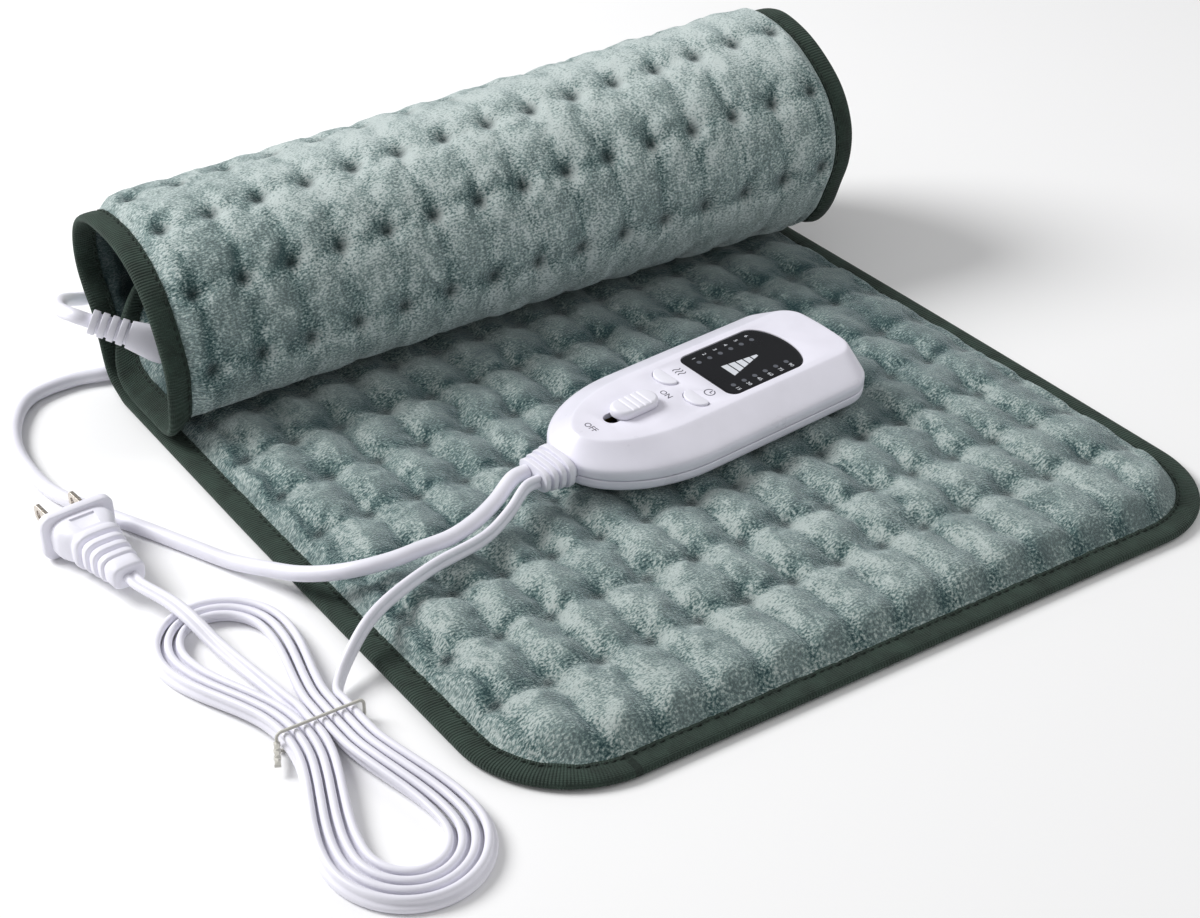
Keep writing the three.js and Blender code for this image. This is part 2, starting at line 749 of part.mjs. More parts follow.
// Felt sheet that carries the heating wire
function elementSheet() {
  const points = [];
  const triangles = [];
  const stations = [firstStation, tuftMarginS, flatLength / 2];
  const first = Math.ceil((flatLength - firstStation) / halfRow) - 1;
  const last = 2 * tuftRows;
  for (let j = first; j <= last; j += 1) stations.push(firstStation + j * halfRow);
  const columns = innerColumnShares.map((share) => share * padWidth);
  const layer = (height) => stations.map((s) => columns.map((x) => {
    points.push(padPoint(x, s, height));
    return points.length - 1;
  }));
  const top = layer(sheetTop);
  const bottom = layer(sheetTop - sheetThickness);
  const quad = (a, b, c, d) => triangles.push([a, b, c], [a, c, d]);
  for (let j = 0; j < stations.length - 1; j += 1) {
    for (let i = 0; i < columns.length - 1; i += 1) {
      const next = j + 1;
      triangles.push([top[j][i], top[j][i + 1], top[next][i]]);
      triangles.push([top[j][i + 1], top[next][i + 1], top[next][i]]);
      triangles.push([bottom[j][i], bottom[next][i], bottom[j][i + 1]]);
      triangles.push([bottom[j][i + 1], bottom[next][i], bottom[next][i + 1]]);
    }
    const end = columns.length - 1;
    quad(bottom[j][0], top[j][0], top[j + 1][0], bottom[j + 1][0]);
    quad(bottom[j][end], bottom[j + 1][end], top[j + 1][end], top[j][end]);
  }
  const final = stations.length - 1;
  for (let i = 0; i < columns.length - 1; i += 1) {
    quad(bottom[0][i], bottom[0][i + 1], top[0][i + 1], top[0][i]);
    quad(bottom[final][i + 1], bottom[final][i], top[final][i], top[final][i + 1]);
  }
  return fromTriangles(points, triangles);
}

// A section swept along points, each with its own two section axes
function sweep(frames, section) {
  const rings = frames.map(({ point, wide, thick }) => section.map(([p, q]) =>
    point.clone().addScaledVector(wide, p).addScaledVector(thick, q)));
  return loft(rings);
}

function regularSection(radius, sides) {
  return Array.from({ length: sides }, (_, i) => {
    const angle = (i * 4 * quarterTurn) / sides;
    return [radius * Math.cos(angle), radius * Math.sin(angle)];
  });
}

function tangentAt(points, i) {
  const before = points[Math.max(i - 1, 0)];
  const after = points[Math.min(i + 1, points.length - 1)];
  return after.clone().sub(before).normalize();
}

// Heating wire: runs across the pad between the tuft rows, joined by half turns
const wireHeight = sheetTop - sheetThickness - seatGap - wireRadius;
function heatingWire() {
  const places = [];
  const turnRadius = halfRow;
  const inset = turnRadius + tuftMarginX + columnPitch / 2;
  const runs = tuftRows - 1;
  const turnSteps = 4;
  for (let k = 0; k < runs; k += 1) {
    const s = tuftMarginS + halfRow + k * rowPitch;
    const toRight = k % 2 === 0;
    const startX = toRight ? inset : padWidth - inset;
    const endX = padWidth - startX;
    places.push([startX, s], [endX, s]);
    if (k === runs - 1) break;
    for (let i = 1; i < turnSteps; i += 1) {
      const angle = -quarterTurn + (i * 2 * quarterTurn) / turnSteps;
      const reach = turnRadius * Math.cos(angle) * (toRight ? 1 : -1);
      places.push([endX + reach, s + turnRadius * (1 + Math.sin(angle))]);
    }
  }
  const points = places.map(([x, s]) => padPoint(x, s, wireHeight));
  const frames = points.map((point, i) => {
    const run = tangentAt(points, i);
    const [x, s] = places[i];
    const thick = faceNormal(x, s);
    const wide = run.clone().cross(thick).normalize();
    return { point, wide, thick: run.clone().cross(wide).normalize() };
  });
  return sweep(frames, regularSection(wireRadius, wireSides));
}

// Thermostats: flat sleeves in pockets of the back quilt, just under the wire
function thermostatBox(place, margin) {
  const [shareX, shareS] = place;
  const column = Math.round(shareX * tuftColumns);
  const row = Math.round(shareS * tuftRows);
  const x = tuftMarginX + (column + 0.5) * columnPitch;
  const s = tuftMarginS + (row + 0.5) * rowPitch;
  const high = padMid + wireHeight - wireRadius - seatGap;
  const low = high - thermostatHeight - margin;
  const top = margin > 0 ? high + cutOverrun : high;
  return block(thermostatLength + 2 * margin, thermostatWidth + 2 * margin, low, top, x, s);
}

// Controller: outlines and heights
const handsetHeight = plateauRise + plateauEdge;
const ceiling = handsetHeight - ceilingThickness;
const boardTop = boardSeat + boardThickness;
const partSeat = boardTop + seatGap;
const noseSteps = 14;
const cornerSteps = 4;
const caseOutline = {
  nose: handsetNose, noseLength: handsetNoseLength, halfWidth: handsetHalfWidth,
  end: handsetEnd, corner: handsetCorner, bulge: handsetBulge,
};
const plateauOutline = {
  nose: plateauNose, noseLength: plateauNoseLength, halfWidth: plateauHalfWidth,
  end: plateauEnd, corner: plateauCorner, bulge: handsetBulge,
};

// A half-elliptic nose, straight sides and two round corners, anticlockwise from above
function outlineRing(outline, inset, height) {
  const halfWidth = outline.halfWidth - inset;
  const radius = Math.max(outline.corner - inset, outline.corner / 4);
  const centre = outline.nose + outline.noseLength;
  const reach = outline.noseLength - inset;
  const cornerU = outline.end - inset - radius;
  const cornerV = halfWidth - radius;
  const points = [];
  const add = (u, v) => {
    const swell = u > centre ? outline.bulge * (1 - (v / halfWidth) ** 2) : 0;
    points.push(new THREE.Vector3(u + swell, v, height));
  };
  for (let i = 0; i <= cornerSteps; i += 1) {
    const angle = (i * quarterTurn) / cornerSteps - quarterTurn;
    add(cornerU + radius * Math.cos(angle), -cornerV + radius * Math.sin(angle));
  }
  add(outline.end - inset, 0);
  for (let i = 0; i <= cornerSteps; i += 1) {
    const angle = (i * quarterTurn) / cornerSteps;
    add(cornerU + radius * Math.cos(angle), cornerV + radius * Math.sin(angle));
  }
  for (let i = 0; i <= noseSteps; i += 1) {
    const angle = quarterTurn + (i * 2 * quarterTurn) / noseSteps;
    add(centre + reach * Math.cos(angle), halfWidth * Math.sin(angle));
  }
  return points;
}

function caseLoft(levels) {
  return loft(levels.map(([outline, inset, height]) => outlineRing(outline, inset, height)));
}

// Rings from flat shapes with equal point counts, each at its own height
function shapeLoft(levels, segments = 5) {
  return loft(levels.map(([shape, height]) => {
    const points = shape.getPoints(segments);
    const corners = points.filter((p, i) => p.distanceTo(points[(i + 1) % points.length]) > 1e-6);
    return corners.map((p) => new THREE.Vector3(p.x, p.y, height));
  }));
}

function roundedRectangle(length, width, radius, x = 0, y = 0) {
  const farX = x + length / 2;
  const nearX = x - length / 2;
  const farY = y + width / 2;
  const nearY = y - width / 2;
  const shape = new THREE.Shape();
  shape.absarc(farX - radius, nearY + radius, radius, -quarterTurn, 0);
  shape.absarc(farX - radius, farY - radius, radius, 0, quarterTurn);
  shape.absarc(nearX + radius, farY - radius, radius, quarterTurn, 2 * quarterTurn);
  shape.absarc(nearX + radius, nearY + radius, radius, 2 * quarterTurn, 3 * quarterTurn);
  shape.closePath();
  return shape;
}

// The window: two round corners toward the buttons and a bowed far end
function windowShape(margin) {
  const near = windowStart - margin;
  const side = windowHalfWidth + margin;
  const corner = windowCorner + margin;
  const shoulder = windowStart + windowLength * windowShoulderShare;
  const bow = windowLength * (1 - windowShoulderShare) + margin;
  const shape = new THREE.Shape();
  shape.absellipse(shoulder, 0, bow, side, -quarterTurn, quarterTurn);
  shape.absarc(near + corner, side - corner, corner, quarterTurn, 2 * quarterTurn);
  shape.absarc(near + corner, corner - side, corner, 2 * quarterTurn, 3 * quarterTurn);
  shape.closePath();
  return shape;
}

// A push button: straight toward the window, bowed toward the slide switch
function buttonShape(v, margin) {
  const halfLength = buttonLength / 2 + margin;
  const corner = buttonCorner + margin;
  const far = buttonU + buttonDepth / 2 + margin;
  const bow = buttonDepth - buttonCorner + margin;
  const shape = new THREE.Shape();
  shape.absarc(far - corner, v + corner - halfLength, corner, -quarterTurn, 0);
  shape.absarc(far - corner, v + halfLength - corner, corner, 0, quarterTurn);
  shape.absellipse(far - corner, v, bow, halfLength, quarterTurn, 3 * quarterTurn);
  shape.closePath();
  return shape;
}

const slotLength = neckLength + knobTravel + 2 * slotClearance;
const slotCentre = knobCentre - knobTravel / 2;
const screwPlaces = [
  [screwU[0], screwVNose], [screwU[0], -screwVNose],
  [screwU[1], screwVEnd], [screwU[1], -screwVEnd],
];

// Oval sections along +X, each station a distance, a half width and a half height
function ovalBody(stations, sides = ovalSides) {
  return loft(stations.map(([x, halfWidth, halfHeight]) =>
    Array.from({ length: sides }, (_, i) => {
      const angle = ((i + 0.5) * 4 * quarterTurn) / sides;
      const soft = (value) => Math.sign(value) * Math.abs(value) ** ovalPower;
      const y = halfWidth * soft(Math.cos(angle));
      return new THREE.Vector3(x, y, halfHeight * soft(Math.sin(angle)));
    })));
}

function ribStations(from, count, pitch, depth, halfWidth, halfHeight, taper) {
  const stations = [];
  for (let k = 0; k < count; k += 1) {
    const near = from + k * pitch;
    const edge = near + pitch * ribGrooveShare;
    const wide = halfWidth - taper * k;
    const high = halfHeight - taper * k;
    stations.push([near, wide - depth, high - depth], [edge, wide - depth, high - depth]);
    stations.push([edge, wide, high], [near + pitch, wide, high]);
  }
  return stations;
}

const reliefRibStart = reliefCollar[1][0];
const reliefEnd = reliefRibStart + reliefRibs * reliefRibPitch;
function strainRelief() {
  const [, collarWidth, collarHeight] = reliefCollar[1];
  const ribs = ribStations(reliefRibStart, reliefRibs, reliefRibPitch, reliefGrooveDepth,
    collarWidth - reliefTaper, collarHeight - reliefTaper, reliefTaper);
  const body = ovalBody([...reliefFlange, ...reliefNeck, ...reliefCollar, ...ribs]);
  return body.rotateZ(2 * quarterTurn).translate(0, 0, reliefAxis);
}

function reliefNotch() {
  const [, halfWidth, halfHeight] = reliefNeck[0];
  const stations = [reliefFlange[1][0], reliefCollar[1][0]].map((distance) =>
    [distance, halfWidth + seatGap, halfHeight + seatGap]);
  return solid(ovalBody(stations).rotateZ(2 * quarterTurn).translate(0, 0, reliefAxis));
}

function topShell() {
  const bevelStart = shoulderHeight + shoulderRound / 2;
  const outer = solid(caseLoft([
    [caseOutline, 0, seamHeight], [caseOutline, 0, shoulderHeight - shoulderRound],
    [caseOutline, shoulderRound, bevelStart], [plateauOutline, 0, plateauRise],
    [plateauOutline, plateauEdgeInset, handsetHeight],
  ]));
  const cavity = solid(caseLoft([
    [caseOutline, wall, seamHeight - cutOverrun],
    [caseOutline, wall, shoulderHeight - wall * cavityDropShare],
    [plateauOutline, plateauEdgeInset, ceiling],
  ]));
  let shell = outer.subtract(cavity);
  screwPlaces.forEach(([u, v]) => {
    const post = solid(disc(postRadius, postBase, handsetHeight, u, v));
    shell = shell.add(post.intersect(outer));
  });
  const holeRadius = screwRadius + screwClearance;
  screwPlaces.forEach(([u, v]) => {
    const top = screwTop + seatGap;
    shell = shell.subtract(solid(disc(holeRadius, postBase - cutOverrun, top, u, v, 10)));
  });
  const low = ceiling - cutOverrun;
  const high = handsetHeight + cutOverrun;
  const slot = capsuleShape(slotLength, neckWidth + 2 * slotClearance, slotCentre);
  shell = shell.subtract(solid(slab(slot, low, high)));
  [buttonV, -buttonV].forEach((v) => {
    shell = shell.subtract(solid(slab(buttonShape(v, buttonClearance), low, high)));
  });
  const recess = handsetHeight - windowDepth;
  shell = shell.subtract(solid(slab(windowShape(0), recess, high, 10)));
  shell = shell.subtract(solid(slab(windowShape(-windowLedge), low, high, 10)));
  return shell.subtract(reliefNotch());
}

function bottomShell() {
  const top = seamHeight - seatGap;
  const outer = solid(caseLoft([
    [caseOutline, bottomInset, 0], [caseOutline, 0, bottomTaper], [caseOutline, 0, top],
  ]));
  const cavity = solid(caseLoft([
    [caseOutline, bottomInset + wall, wall], [caseOutline, wall, bottomTaper + wall],
    [caseOutline, wall, seamHeight + cutOverrun],
  ]));
  let shell = outer.subtract(cavity);
  const floor = wall / 2;
  screwPlaces.forEach(([u, v]) => {
    shell = shell.add(solid(disc(bossRadius, floor, postBase - seatGap, u, v)));
  });
  boardPostU.forEach((u) => [boardPostV, -boardPostV].forEach((v) => {
    shell = shell.add(solid(disc(boardPostRadius, floor, boardSeat - seatGap, u, v, 12)));
    shell = shell.add(solid(disc(boardPegRadius, floor, boardTop, u, v, 8)));
  }));
  screwPlaces.forEach(([u, v]) => {
    const holeRadius = screwRadius + screwClearance;
    const headRadius = screwHeadRadius + screwClearance;
    shell = shell.subtract(solid(disc(holeRadius, -cutOverrun, postBase, u, v, 10)));
    shell = shell.subtract(solid(disc(headRadius, -cutOverrun, screwSink, u, v, 12)));
  });
  return shell.subtract(reliefNotch());
}

function caseScrew([u, v]) {
  const headTop = screwSink - seatGap;
  const head = solid(disc(screwHeadRadius, headTop - screwHeadHeight, headTop, u, v, 10));
  const shank = solid(disc(screwRadius, headTop - screwHeadHeight / 2, screwTop, u, v, 6));
  return geometryOf(head.add(shank));
}

// Slide switch: the knob's neck and shutter pass through the shell to the lever
const shutterTop = ceiling - seatGap;
const shutterBottom = shutterTop - shutterThickness;
const knobBottom = handsetHeight + seatGap;
const knobTop = knobBottom + knobHeight;
const switchTop = partSeat + switchBodyHeight;
function slideKnob() {
  const capsule = (inset) =>
    capsuleShape(knobLength - 2 * inset, knobWidth - 2 * inset, knobCentre);
  const softInset = knobEdge / 4;
  let knob = solid(shapeLoft([
    [capsule(0), knobBottom], [capsule(0), knobTop - knobEdge],
    [capsule(softInset), knobTop - softInset], [capsule(knobEdge), knobTop],
  ], 6));
  for (let i = 0; i < knobGrooves; i += 1) {
    const u = knobCentre + (i - (knobGrooves - 1) / 2) * groovePitch;
    const top = knobTop + cutOverrun;
    const groove = block(grooveWidth, knobWidth + cutOverrun, knobTop - grooveDepth, top, u);
    knob = knob.subtract(solid(groove));
  }
  const neck = capsuleShape(neckLength, neckWidth, knobCentre);
  knob = knob.add(solid(slab(neck, shutterBottom, knobTop - 2 * grooveDepth)));
  const shutter = capsuleShape(shutterLength, shutterWidth, knobCentre);
  knob = knob.add(solid(slab(shutter, shutterBottom, shutterTop)));
  const pocketSide = leverSide + 2 * seatGap;
  const pocketTop = shutterBottom + leverPocketDepth;
  const pocket = block(pocketSide, pocketSide, shutterBottom - cutOverrun, pocketTop, knobCentre);
  return geometryOf(knob.subtract(solid(pocket)));
}

function switchLever() {
  const top = shutterBottom + leverPocketDepth - seatGap;
  return block(leverSide, leverSide, switchTop - leverDepth, top, knobCentre);
}

function slideSwitch() {
  const body = solid(block(switchBodyLength, switchBodyWidth, partSeat, switchTop, slotCentre));
  const length = leverSide + knobTravel + 2 * slotClearance;
  const width = leverSide + 2 * slotClearance;
  const floor = switchTop - leverDepth - seatGap;
  const well = block(length, width, floor, switchTop + cutOverrun, slotCentre);
  return geometryOf(body.subtract(solid(well)));
}

// Push buttons: cap, flange under the shell and stem, over a tact switch
const tactTop = partSeat + tactHeight;
const plungerTop = tactTop + plungerProud;
const plungerBottom = tactTop - plungerDepth;
function pushButton(v) {
  const top = handsetHeight + buttonProud;
  const cap = solid(shapeLoft([
    [buttonShape(v, 0), shutterBottom], [buttonShape(v, 0), top - buttonEdge],
    [buttonShape(v, -buttonEdge), top],
  ]));
  const flange = slab(buttonShape(v, buttonRim), shutterTop - buttonFlange, shutterTop);
  const stem = disc(stemRadius, plungerTop + seatGap, shutterTop, buttonU, v, 12);
  return geometryOf(cap.add(solid(flange)).add(solid(stem)));
}

function tactSwitch(v) {
  const body = solid(block(tactSide, tactSide, partSeat, tactTop, buttonU, v));
  const floor = plungerBottom - buttonTravel - seatGap;
  const bore = disc(plungerRadius + buttonClearance, floor, tactTop + cutOverrun, buttonU, v, 12);
  return geometryOf(body.subtract(solid(bore)));
}

function circuitBoard() {
  const length = boardEnd - boardStart;
  const middle = (boardStart + boardEnd) / 2;
  const outline = roundedRectangle(length, 2 * boardHalfWidth, boardCorner, middle);
  let board = solid(slab(outline, boardSeat, boardTop, 4));
  boardPostU.forEach((u) => [boardPostV, -boardPostV].forEach((v) => {
    const low = boardSeat - cutOverrun;
    const hole = disc(boardPegRadius + seatGap, low, boardTop + cutOverrun, u, v, 10);
    board = board.subtract(solid(hole));
  }));
  return geometryOf(board);
}

function lightFrame() {
  const outer = solid(slab(windowShape(-frameInset), partSeat, ceiling - seatGap, 6));
  const inner = windowShape(-frameInset - frameWall);
  return geometryOf(outer.subtract(solid(slab(inner, partSeat - cutOverrun, ceiling, 6))));
}

// Indicator module: rows of small LEDs on one thin plate
function indicatorLeds() {
  const runU = (ledColumns - 1) * ledPitch;
  const runV = ledRows[ledRows.length - 1] - ledRows[0];
  const length = runU + ledLength + 2 * ledPlateMargin;
  const width = runV + ledWidth + 2 * ledPlateMargin;
  const plateTop = partSeat + ledPlateThickness;
  const plate = solid(block(length, width, partSeat, plateTop, ledStart + runU / 2));
  const places = ledRows.flatMap((v) =>
    Array.from({ length: ledColumns }, (_, i) => [ledStart + i * ledPitch, v]));
  const leds = places.map(([u, v]) =>
    solid(block(ledLength, ledWidth, partSeat, plateTop + ledHeight, u, v)));
  return geometryOf(leds.reduce((all, led) => all.add(led), plate));
}

function onBoard([length, width, height], [u, v]) {
  return block(length, width, partSeat, partSeat + height, u, v);
}

// Plug
function plugBodySolid() {
  const flangeShape = (inset) =>
    roundedRectangle(flangeWidth - 2 * inset, flangeHeight - 2 * inset, flangeCorner - inset);
  const flange = solid(shapeLoft([
    [flangeShape(flangeEdge), 0], [flangeShape(0), flangeEdge],
    [flangeShape(0), flangeThickness - flangeEdge], [flangeShape(flangeEdge), flangeThickness],
  ], 4).rotateX(quarterTurn).rotateZ(quarterTurn));
  const ribFrom = plugCollar[plugCollar.length - 1][0];
  const ribs = ribStations(ribFrom, plugRibs, plugRibPitch, plugGrooveDepth, plugRibWidth,
    plugRibHeight, plugTaper);
  const body = solid(ovalBody([...plugBody, ...plugCollar, ...ribs, ...plugSleeve]));
  let plug = flange.add(body);
  const top = plugBody[2][2];
  const panelMiddle = panelStart + panelLength / 2;
  const panel = block(panelLength, panelWidth, top - panelDepth, top + cutOverrun, panelMiddle);
  plug = plug.subtract(solid(panel));
  [bladeSpacing / 2, -bladeSpacing / 2].forEach((y) => {
    const height = bladeHeight + 2 * seatGap;
    const socket = block(bladeRoot + seatGap + cutOverrun, bladeThickness + 2 * seatGap,
      -height / 2, height / 2, (bladeRoot + seatGap - cutOverrun) / 2, y);
    plug = plug.subtract(solid(socket));
  });
  return geometryOf(plug);
}

function plugBlade(side) {
  const tip = -bladeLength;
  const half = bladeHeight / 2;
  const shape = new THREE.Shape();
  shape.moveTo(bladeRoot, -half);
  shape.lineTo(bladeRoot, half);
  shape.lineTo(tip + bladeTipChamfer, half);
  shape.lineTo(tip, half - bladeTipChamfer);
  shape.lineTo(tip, bladeTipChamfer - half);
  shape.lineTo(tip + bladeTipChamfer, -half);
  shape.closePath();
  const hole = new THREE.Path();
  hole.absarc(tip + bladeHoleFromTip, 0, bladeHoleRadius, 0, 4 * quarterTurn, true);
  shape.holes.push(hole);
  const blade = slab(shape, -bladeThickness / 2, bladeThickness / 2, 10);
  return blade.rotateX(quarterTurn).translate(0, (side * bladeSpacing) / 2, 0);
}

// Boot of the pad cord
const bootAxisFrom = new THREE.Vector3(...bootRoot);
const bootRun = new THREE.Vector3(...bootTip).sub(bootAxisFrom);
function padBoot() {
  const base = bootBase[bootBase.length - 1][0];
  const ribs = ribStations(base, bootRibs, bootRibPitch, bootGrooveDepth, bootRibRadius,
    bootRibRadius, bootTaper);
  return ovalBody([...bootBase, ...ribs], 12);
}

// Cords: round tube along a smooth path
function roundCord(points, radius, sides, steps) {
  const path = new THREE.CatmullRomCurve3(points, false, 'centripetal');
  const section = regularSection(radius, sides).map(([x, y]) => new THREE.Vector2(x, y));
  const shape = new THREE.Shape(section);
  return new THREE.ExtrudeGeometry(shape, {
    steps, extrudePath: path, bevelEnabled: false, curveSegments: 1,
  });
}

function flatSection(corners) {
  const wide = flatCordWidth / 2;
  const thick = flatCordThickness / 2;
  const shoulder = wide * flatCordShoulderShare;
  if (corners === 6) {
    return [[wide, 0], [shoulder, thick], [-shoulder, thick],
      [-wide, 0], [-shoulder, -thick], [shoulder, -thick]];
  }
  const side = thick * flatCordSideShare;
  return [[wide, side], [shoulder, thick], [-shoulder, thick], [-wide, side],
    [-wide, -side], [-shoulder, -thick], [shoulder, -thick], [wide, -side]];
}

// Frames of a flat cord: roll turns its wide side up from level
function flatFrame(point, run, roll) {
  const side = run.clone().cross(new THREE.Vector3(0, 0, 1)).normalize();
  const up = side.clone().cross(run).normalize();
  const wide = side.multiplyScalar(Math.cos(roll)).addScaledVector(up, Math.sin(roll));
  return { point, wide, thick: run.clone().cross(wide).normalize() };
}

function flatCord(stations, steps) {
  const places = stations.map(([x, y, z]) => new THREE.Vector3(x, y, z));
  const turns = stations.map(([, , , roll], i) => new THREE.Vector3(i, roll, 0));
  const path = new THREE.CatmullRomCurve3(places, false, 'centripetal');
  const rolls = new THREE.CatmullRomCurve3(turns, false, 'centripetal');
  const frames = [];
  for (let i = 0; i <= steps; i += 1) {
    const t = i / steps;
    frames.push(flatFrame(path.getPoint(t), path.getTangent(t), rolls.getPoint(t).y));
  }
  return sweep(frames, flatSection(8));
}

// The hank: one strand through all the lobes
const waistCentre = new THREE.Vector2(...hankCentre);
const strandRise = flatCordWidth / 2;
function spacedRoll(spacing) {
  return Math.asin(Math.min(1, (flatCordThickness + strandGap) / spacing));
}

const waistRoll = spacedRoll(waistPitch);

function hankStrand() {
  const frames = [];
  const lobes = [];
  for (let i = 0; i < lowerLoops; i += 1) {
    const reach = (hankSlots - 1) / 2 - i;
    lobes.push({
      axis: hankAxisLower, centre: 0, start: reach * waistPitch + waistSplit, loop: i, side: 1,
      length: lowerLobeLength, halfWidth: lowerLobeHalfWidth, end: lowerLobeEndLength,
    });
    if (i < upperLoops) {
      const upperReach = upperLoops - i;
      lobes.push({
        axis: hankAxisUpper, centre: -waistPitch / 2, loop: i, side: -1,
        start: upperReach * waistPitch + waistSplit, length: upperLobeLength,
        halfWidth: upperLobeHalfWidth, end: upperLobeEndLength,
      });
    }
  }
  lobes.forEach((lobe) => addLobe(frames, lobe));
  const top = (slotsFromCentre, split) => {
    const { x, y } = waistCentre;
    const slotX = (slotsFromCentre - 1 / 2) * waistPitch + split;
    const shiftX = waistRun * Math.cos(hankAxisUpper) + slotX;
    const rise = waistRun * Math.sin(hankAxisUpper);
    return { point: new THREE.Vector3(x + shiftX, y + rise, frames[0].point.z), roll: waistRoll };
  };
  return [top(hankSlots / 2, waistSplit), ...frames, top(0, -waistSplit)];
}

function addLobe(frames, lobe) {
  const { axis, centre, start, loop, side } = lobe;
  const halfWidth = lobe.halfWidth - loop * lobePitch;
  const end = lobe.end - loop * lobePitch;
  const legEnd = lobe.length - lobe.end;
  const along = new THREE.Vector2(Math.cos(axis), Math.sin(axis));
  const across = new THREE.Vector2(1, 0).multiplyScalar(side);
  const bowAcross = new THREE.Vector2(-along.y, along.x);
  if (bowAcross.dot(across) < 0) bowAcross.negate();
  const places = [];
  const leg = (a) => {
    const t = Math.max(0, Math.min(1, (a - waistRun) / (legEnd - waistRun)));
    const ease = t * t * (3 - 2 * t);
    const slope = (6 * t * (1 - t) * (halfWidth - start)) / (legEnd - waistRun);
    const pitch = waistPitch + (lobePitch - waistPitch) * ease;
    const roll = spacedRoll(pitch / Math.hypot(1, slope));
    return { b: start + (halfWidth - start) * ease, roll, ease };
  };
  for (let i = 0; i <= legSteps; i += 1) {
    const a = waistRun + ((legEnd - waistRun) * i) / legSteps;
    places.push({ a, ...leg(a) });
  }
  const lobeRoll = spacedRoll(lobePitch);
  for (let i = 1; i < bendSteps; i += 1) {
    const angle = (i * 2 * quarterTurn) / bendSteps;
    const a = legEnd + end * Math.sin(angle);
    places.push({ a, b: halfWidth * Math.cos(angle), roll: lobeRoll, ease: 1 });
  }
  for (let i = legSteps; i >= 0; i -= 1) {
    const a = waistRun + ((legEnd - waistRun) * i) / legSteps;
    const place = leg(a);
    places.push({ a, ...place, b: -place.b });
  }
  places.forEach(({ a, b, roll, ease }) => {
    const plan = waistCentre.clone().addScaledVector(along, a).addScaledVector(bowAcross, b);
    plan.x += centre;
    const lift = hankRest + waistLift * (1 - ease) + strandRise * Math.sin(roll);
    frames.push({ point: new THREE.Vector3(plan.x, plan.y, lift), roll });
  });
}

function hankFrames() {
  const places = hankStrand();
  const points = places.map((place) => place.point);
  return places.map(({ point, roll }, i) => flatFrame(point, tangentAt(points, i), roll));
}

// The least gap of the hank's strand to itself, from points spread over its surface
function leastGap(frames, section) {
  const along = 12;
  const around = 3;
  const skip = 2 * flatCordWidth;
  const cell = flatCordWidth;
  const cells = new Map();
  const rings = frames.map(({ point, wide, thick }) => section.map(([p, q]) =>
    point.clone().addScaledVector(wide, p).addScaledVector(thick, q)));
  const key = (p) => [p.x, p.y, p.z].map((v) => Math.floor(v / cell)).join(' ');
  const samples = [];
  let travelled = 0;
  for (let r = 0; r < rings.length - 1; r += 1) {
    const step = frames[r].point.distanceTo(frames[r + 1].point);
    for (let k = 0; k < along; k += 1) {
      const t = k / along;
      const ring = rings[r].map((p, i) => p.clone().lerp(rings[r + 1][i], t));
      ring.forEach((p, i) => {
        const next = ring[(i + 1) % ring.length];
        for (let m = 0; m < around; m += 1) {
          const point = p.clone().lerp(next, m / around);
          const sample = { point, at: travelled + t * step };
          samples.push(sample);
          const name = key(point);
          if (!cells.has(name)) cells.set(name, []);
          cells.get(name).push(sample);
        }
      });
    }
    travelled += step;
  }
  const sides = [-1, 0, 1];
  const neighbours = sides.flatMap((i) => sides.flatMap((j) => sides.map((k) =>
    new THREE.Vector3(i, j, k).multiplyScalar(cell))));
  let least = Infinity;
  samples.forEach(({ point, at }) => neighbours.forEach((shift) => {
    const near = key(point.clone().add(shift));
    (cells.get(near) ?? []).forEach((other) => {
      if (other.at - at > skip) least = Math.min(least, point.distanceTo(other.point));
    });
  }));
  return { least, length: travelled };
}

// Tie around the hank's waist, with its ends twisted together
const waistTop = hankRest + waistLift + 2 * strandRise * Math.sin(waistRoll);
const waistHalfWidth = ((hankSlots - 1) * waistPitch) / 2 + waistSplit
  + strandRise * Math.cos(waistRoll) + (flatCordThickness / 2) * Math.sin(waistRoll);
function hankTie() {
  const reach = waistHalfWidth + tieMargin + tieRadius;
  const low = tieRadius + hankRest / 2;
  const high = waistTop + tieMargin + tieRadius;
  const outline = roundedRectangle(2 * reach, high - low, (high - low) / 4, 0, (low + high) / 2);
  const points = outline.getPoints(3)
    .filter((p, i, all) => p.distanceTo(all[(i + 1) % all.length]) > 1e-6)
    .map((p) => new THREE.Vector3(waistCentre.x + p.x, waistCentre.y, p.y));
  const rings = points.map((point, i) => {
    const before = points[(i + points.length - 1) % points.length];
    const run = points[(i + 1) % points.length].clone().sub(before).normalize();
    const wide = new THREE.Vector3(0, 1, 0);
    const thick = run.clone().cross(wide);
    return regularSection(tieRadius, tieSides).map(([p, q]) =>
      point.clone().addScaledVector(wide, p).addScaledVector(thick, q));
  });
  const start = new THREE.Vector3(waistCentre.x - reach, waistCentre.y, (low + high) / 2);
  const end = new THREE.Vector3(...tieEnd);
  const run = end.clone().sub(start).normalize();
  const steps = 10;
  const frames = Array.from({ length: steps + 1 }, (_, i) => {
    const t = i / steps;
    return flatFrame(start.clone().lerp(end, t), run, t * tieTurns * 4 * quarterTurn);
  });
  const halfWidth = tieStripWidth / 2;
  const halfThickness = tieStripThickness / 2;
  const strip = sweep(frames, [[halfWidth, -halfThickness], [halfWidth, halfThickness],
    [-halfWidth, halfThickness], [-halfWidth, -halfThickness]]);
  return geometryOf(solid(closedLoft(rings)).add(solid(strip)));
}

